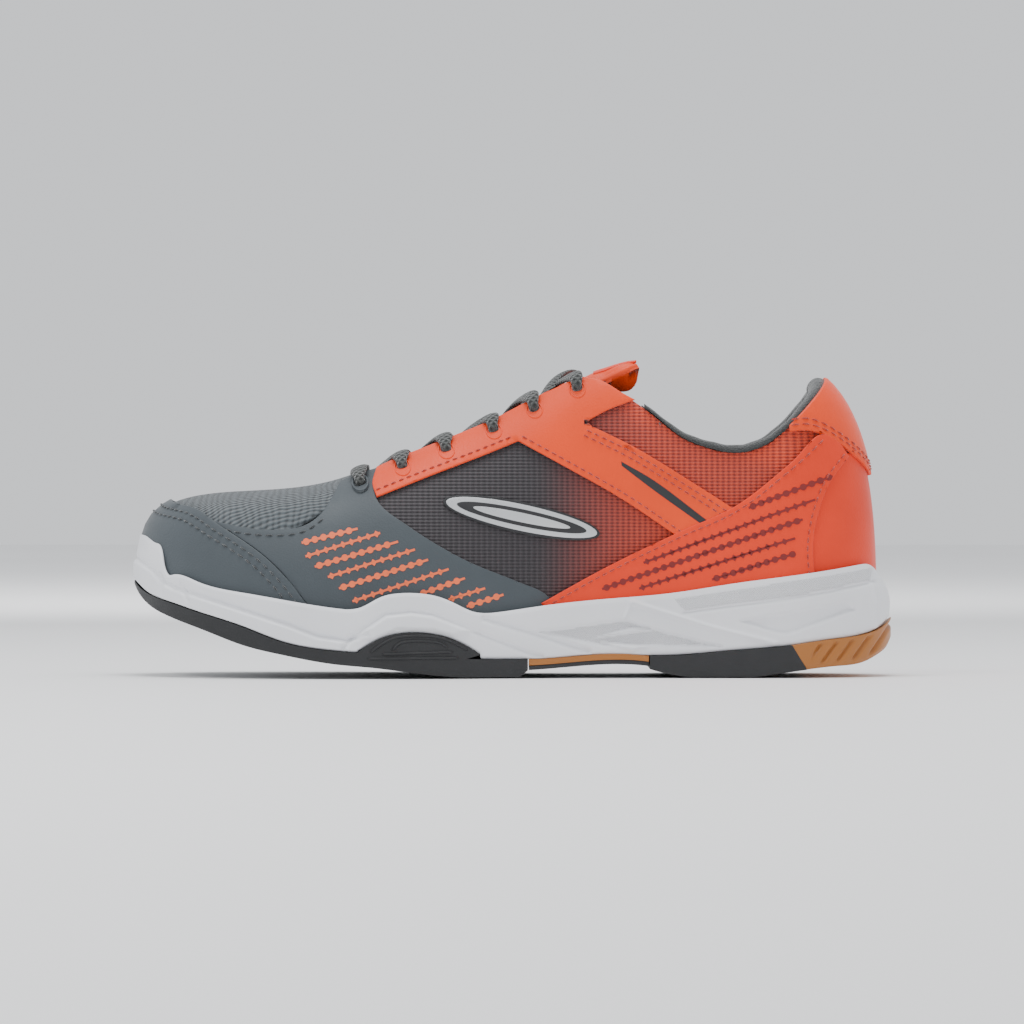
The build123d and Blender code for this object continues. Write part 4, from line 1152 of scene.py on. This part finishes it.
def collar():
    """Padded lining of the quarters and heel, quilted by one seam under the foam, and its rolled edge."""
    side, station = round_heel(-HEEL_END - 48, 150)
    v = np.linspace(0, 1, 60)
    foot = FEATHER(place(LATERAL, station, np.zeros_like(station))[:, 0]) + 1.8
    top = TOP_EDGE(station) - 1.0
    z = foot[:, None] + (top - foot)[:, None] * v
    s, sides = station[:, None] + 0 * z, side[:, None] + 0 * z
    share = 1 - (top[:, None] - z) / (FOAM_DEEP - 1.0)
    eased = (share + np.sqrt(share**2 + 0.02)) / 2
    cover = foam_thickness(s, eased)
    puff = 0.55 * np.sin(math.pi * np.clip(share * 1.02, 0, 1)) - 0.7 * np.exp(-((share + 0.02) / 0.045) ** 2)
    wrinkle = 0.22 * np.sin(s * 0.55 + 1.3 * np.sin(z * 0.2)) * np.exp(-((share - 0.05) / 0.12) ** 2)
    outer = -0.95 - cover - 0.7 - puff - wrinkle
    inner, outer = (on_last(sides, s, z, distance) for distance in (outer - 0.8, outer))
    piece = grid_piece("collar_lining", inner, outer, s, z, "lining", slot="lining_cloth",
                       stands_for=["collar_lining", "collar_foam"])

    side, station = round_heel(-HEEL_END - 50, 150)
    z = TOP_EDGE(station)
    angle = angle_at(side, station, z)
    edge, normal = place(side, station, angle), outward(side, station, angle)
    rise = unit(place(side, station, angle + 0.004) - edge)
    taper = 0.35 + 0.65 * ease(-station, 50, 64)
    reach = (foam_thickness(station, np.ones_like(station)) + 1.9) / 2 * taper
    grids = []
    for thick in (0.0, 1.0):
        rows = []
        for turn in np.linspace(-0.25, math.pi + 0.3, 26):
            side_step = -reach + (reach + thick) * math.cos(turn)
            ripple = 0.1 * np.sin(station * 0.8) * max(0, math.sin(turn))
            lift = 0.15 + (0.62 * reach + thick) * math.sin(turn) + ripple
            rows.append(edge + normal * side_step[:, None] + rise * lift[:, None])
        grids.append(np.stack(rows, axis=1))
    points, faces = grid_solid(*grids)
    add_piece("collar_roll", points, faces, "lining", slot="lining_cloth", stands_for=["collar_roll"])


# ---- Tongue

TONGUE_ROOT, TONGUE_TIP = 66.0, -48.5
TONGUE_HALF_THICK, TONGUE_ARCH, TIP_LIFT = 2.75, 1.4, 1.4
LINED_TO = -36.0
TONGUE_HALF = smooth([(66, 13), (50, 18.5), (20, 22), (-15, 21.5), (-34, 18.5), (-48.5, 15)])
TONGUE_SINK = smooth([(66, 5.4), (50, 6.4), (0, 6.4), (-22, 6.2), (-38, 3.6), (-48.5, 2.4)])


def tongue():
    """One soft padded tongue: face, foam and lining closed over a rounded rim, with a tab at its tip."""
    x = np.linspace(TONGUE_ROOT, TONGUE_TIP, 130)
    share = np.linspace(-1, 1, 56)
    round_tip = np.sqrt(np.clip(1 - ease(-x, 40, 48.5) ** 2 * 0.36, 0, 1))
    half = TONGUE_HALF(x) * round_tip
    xs = x[:, None] + 0 * share
    ys = half[:, None] * share
    near_edge = np.clip((1 - np.abs(share)) * half[:, None], 0, 4)
    near_tip = np.clip(xs - TONGUE_TIP, 0, 4)
    full = np.sqrt(np.clip(1 - (1 - np.minimum(near_edge, near_tip) / 4) ** 2, 0, 1))
    pressed = [(a + b) / 2 for a, b in zip(EYELET_STATIONS, EYELET_STATIONS[1:])]
    press = sum(np.exp(-(((xs - x) / 4.5) ** 2)) for x in pressed)
    sink = TONGUE_SINK(xs) + TONGUE_ARCH * (1 - share**2)
    middle = sink + TONGUE_HALF_THICK - TIP_LIFT * ease(-xs, 34, 46)
    seams = 0.5 * np.exp(-((np.abs(ys) - half[:, None] + 3.2) / 0.8) ** 2)
    ripple = 0.25 * np.sin(xs * 0.5) * np.exp(-((np.abs(share) - 0.75) / 0.25) ** 2)
    upper = middle - TONGUE_HALF_THICK * full + 0.35 * press * (1 - share**2) + seams + ripple
    lower = middle + (TONGUE_HALF_THICK + 5.5 * ease(-xs, 30, 44)) * full - 0.4 * seams
    body = grid_piece("tongue", on_crown(xs, ys, -lower), on_crown(xs, ys, -upper), xs, ys, "orange",
                      body=TONGUE_BODY, slot="orange_synthetic",
                      stands_for=["tongue_face", "tongue_foam", "tongue_lining"])
    body.data.materials.append(LOOK["lining"])
    middles = np.array([f.center[:] for f in body.data.polygons]) / MM
    under = crown(middles[:, 0], middles[:, 1]) - middles[:, 2]
    depth = TONGUE_SINK(middles[:, 0]) + TONGUE_HALF_THICK + 1.0
    for face, deep in zip(body.data.polygons, (under > depth) & (middles[:, 0] > LINED_TO)):
        face.material_index = 1 if deep else 0
    tab_x = np.linspace(-30, -47.4, 20)
    tab_share = np.linspace(-0.62, 0.62, 24)
    tx = tab_x[:, None] + 0 * tab_share
    ty = TONGUE_HALF(tx) * tab_share
    swell = TIP_LIFT * ease(-tx, 34, 46) + 0.5 * np.sqrt(np.clip(1 - (tab_share / 0.64) ** 8, 0, 1))
    lift = swell - (TONGUE_SINK(tx) + TONGUE_ARCH * (1 - tab_share**2))
    points, faces = grid_solid(on_crown(tx, ty, lift - 0.6), on_crown(tx, ty, lift))
    add_piece("tongue_tab", points, faces, "wing", TONGUE_BODY)


# ---- Lacing

def eyelet(side, row, distance, drop=EYELET_DROP):
    """Point straight out from an eyelet."""
    station = np.array(EYELET_STATIONS[row])
    return on_last(side, station, TOP_EDGE(station) - drop, np.array(distance, float))


def throat(side, row, distance):
    """Point straight out from the throat's edge, next to an eyelet."""
    return eyelet(side, row, distance, 0.0)


def crossing(start_row, end_row, lift):
    """Middle of a strand over the tongue."""
    x = (EYELET_STATIONS[start_row] + EYELET_STATIONS[end_row]) / 2
    top = float(crown(np.array(x), np.array(0.0))) - float(TONGUE_SINK(x)) - TONGUE_ARCH
    return np.array([x, 0.0, top + LACE_DIAMETER / 2 + 1.2 + lift])


def strand(start_side, start_row, end_row, over_first, lift):
    """Points of one crossing, from beside one hole to beside the opposite one."""
    first, last = (LACE_OVER, LACE_UNDER) if over_first else (LACE_UNDER, LACE_OVER)
    return [eyelet(start_side, start_row, first), throat(start_side, start_row, first),
            crossing(start_row, end_row, lift), throat(-start_side, end_row, last),
            eyelet(-start_side, end_row, last)]


TAIL_DROP = [(-32, 96, -3.6), (-36, 85, -4.8), (-41, 69, -6.6), (-44, 53, -8.6)]
TAIL_FLOOR = {
    LATERAL: [(-41, 18.5, 38), (-31, 16.5, 28.6), (-14, 16.0, 24.4), (6, 19.0, 22.4), (27, 22.5, 22.0),
              (47, 21.0, 22.6), (64, 15.5, 24.6)],
    MEDIAL: [(-40, -16.6, 38), (-30, -14.0, 28.3), (-13, -12.0, 24.1), (7, -11.5, 22.3), (28, -15.0, 22.0),
             (47, -19.0, 22.6), (65, -18.5, 24.8)],
}
LACE_THICK, LACE_SIDES = 2.3, 16
LACE_GATHERED, LACE_SPREAD = 4.0, 2.8
AGLET_PROFILE = [(0, 1.6), (0.3, 1.9), (21.0, 1.85), (21.8, 1.5), (22.0, 0.9)]
AGLET_SIDES = 24


def tail_start(side):
    """Where the held part of the lace ends and a tail begins."""
    first = on_last(side, *[np.array(v) for v in TAIL_DROP[0]])
    return (eyelet(side, EYELET_ROWS - 1, LACE_UNDER) + first) / 2


def tail_route(side):
    """Route of a tail: down inside the quarter, then along the sockliner to the toe."""
    drop = [on_last(side, np.array(s), np.array(z), np.array(d)) for s, z, d in TAIL_DROP]
    return [tail_start(side)] + drop + TAIL_FLOOR[side]


def lace_route():
    """Route of the held part, from under the lateral top eyelet to under the medial one."""
    top = EYELET_ROWS - 1
    points = [tail_start(LATERAL), eyelet(LATERAL, top, LACE_UNDER)]
    side = LATERAL
    for row in range(top, 0, -1):
        points += strand(side, row, row - 1, True, 0.0)
        side = -side
    points += [eyelet(side, 0, LACE_OVER), throat(side, 0, LACE_OVER), crossing(0, 0, 0.3)]
    points += [throat(-side, 0, LACE_OVER), eyelet(-side, 0, LACE_OVER)]
    side = -side
    for row in range(top):
        points += strand(side, row, row + 1, False, LACE_DIAMETER + 0.6)
        side = -side
    return points + [eyelet(side, top, LACE_UNDER), tail_start(side)]


def spline_through(name, route, thick=0.0):
    """NURBS curve with the route's points as its control points, in metres."""
    route = [np.array(p, float) for p in route]
    route = [p for i, p in enumerate(route) if i == 0 or np.linalg.norm(p - route[i - 1]) > 0.5]
    curve = bpy.data.curves.new(name, "CURVE")
    curve.dimensions = "3D"
    spline = curve.splines.new("NURBS")
    spline.points.add(len(route) - 1)
    for control, point in zip(spline.points, route):
        control.co = (*(point * MM), 1)
    spline.order_u = 3
    spline.use_endpoint_u = True
    spline.resolution_u = 10
    curve.bevel_depth = thick * MM / 2
    curve.bevel_resolution = 6
    curve.use_fill_caps = True
    return curve


def line_of(route):
    """Points along the route's NURBS spline, in millimetres."""
    curve = spline_through("route", route)
    holder = bpy.data.objects.new("route", curve)
    bpy.context.collection.objects.link(holder)
    mesh = bpy.data.meshes.new_from_object(holder)
    points = np.array([v.co[:] for v in mesh.vertices]) / MM
    bpy.data.objects.remove(holder)
    bpy.data.curves.remove(curve)
    bpy.data.meshes.remove(mesh)
    keep = [0] + [i for i in range(1, len(points)) if np.linalg.norm(points[i] - points[i - 1]) > 1e-4]
    return points[keep]


def lace():
    """The held part of the lace: a flat oval between the holes, gathered in them."""
    line = line_of(lace_route())
    up = crown_normal(line[:, 0], line[:, 1], 0.5)
    holes = np.array([eyelet(side, row, 1.0) for side in SIDES.values() for row in range(EYELET_ROWS)])
    nearest = np.min(np.linalg.norm(line[:, None] - holes[None], axis=2), axis=1)
    along = length_along(line)
    even = np.arange(0, along[-1], 0.9)
    middle, ups = (np.column_stack([np.interp(even, along, row) for row in rows.T]) for rows in (line, up))
    wide = np.interp(even, along, LACE_GATHERED + LACE_SPREAD * ease(nearest, 2.5, 7.0))[:, None]
    tangent = unit(np.gradient(middle, axis=0))
    across = unit(np.cross(tangent, ups))
    normal = np.cross(across, tangent)
    turn = circle(LACE_SIDES)
    rings = [middle + across * (wide * math.cos(t)) / 2 + normal * LACE_THICK * math.sin(t) / 2 for t in turn]
    points = np.stack(rings, axis=1).reshape(-1, 3)
    flat = np.column_stack([np.repeat(even, LACE_SIDES), np.tile(turn * 1.6, len(even))])
    add_piece("lace", points, tube_faces(len(even), LACE_SIDES), "lace", slot="lace", stands_for=["lace"],
              uv=flat)


def aglet_on(name, side):
    """Moulded tip over the end of a tail."""
    before, last = (np.array(p, float) for p in TAIL_FLOOR[side][-2:])
    way = unit(last - before)
    side_way = unit(np.cross(way, [0, 0, 1]))
    over = np.cross(side_way, way)
    points = []
    for at, radius in AGLET_PROFILE:
        for t in circle(AGLET_SIDES):
            points.append(last + way * at + radius * (side_way * math.cos(t) + over * math.sin(t)))
    faces = tube_faces(len(AGLET_PROFILE), AGLET_SIDES)
    return add_piece(f"aglet_{name}", points, faces, "aglet", slot="aglet_plastic",
                     stands_for=[f"aglet_{name}"])


def tails():
    """The lace's ends, tucked into the shoe, with their aglets."""
    for name, side in SIDES.items():
        route = tail_route(side)
        curve = spline_through(f"lace_tail_{name}", route, LACE_DIAMETER)
        curve.materials.append(LOOK["lace"])
        tail = bpy.data.objects.new(f"lace_tail_{name}", curve)
        bpy.context.collection.objects.link(tail)
        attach(tail, BODY)
        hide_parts(f"lace_tail_{name}")
        aglet = aglet_on(name, side)
        line = line_of(route)


# ---- CAD pieces kept as they are, with proper materials

KEPT = {"outsole_forefoot": "rubber", "outsole_rearfoot": "rubber", "outsole_arch_gum": "gum",
        "torsion_shank": "plastic", "strobel_board": "board", "sockliner": "insole", "toe_puff": "board",
        "heel_counter": "board", "toe_lining": "lining", "eyestay_lining_lateral": "lining",
        "eyestay_lining_medial": "lining"}


def dress_cad():
    """Give the CAD pieces that stay their materials."""
    for node, look in KEPT.items():
        mesh = bpy.data.objects[node].data
        mesh.materials.clear()
        mesh.materials.append(LOOK[look])


stage()
tails()
lace()
midsole()
heel_gum()
outrigger_ribs()
for side_name, side_sign in SIDES.items():
    side_upper(side_name, side_sign)
toe_upper()
heel_upper()
vamp()
collar()
tongue()
dress_cad()
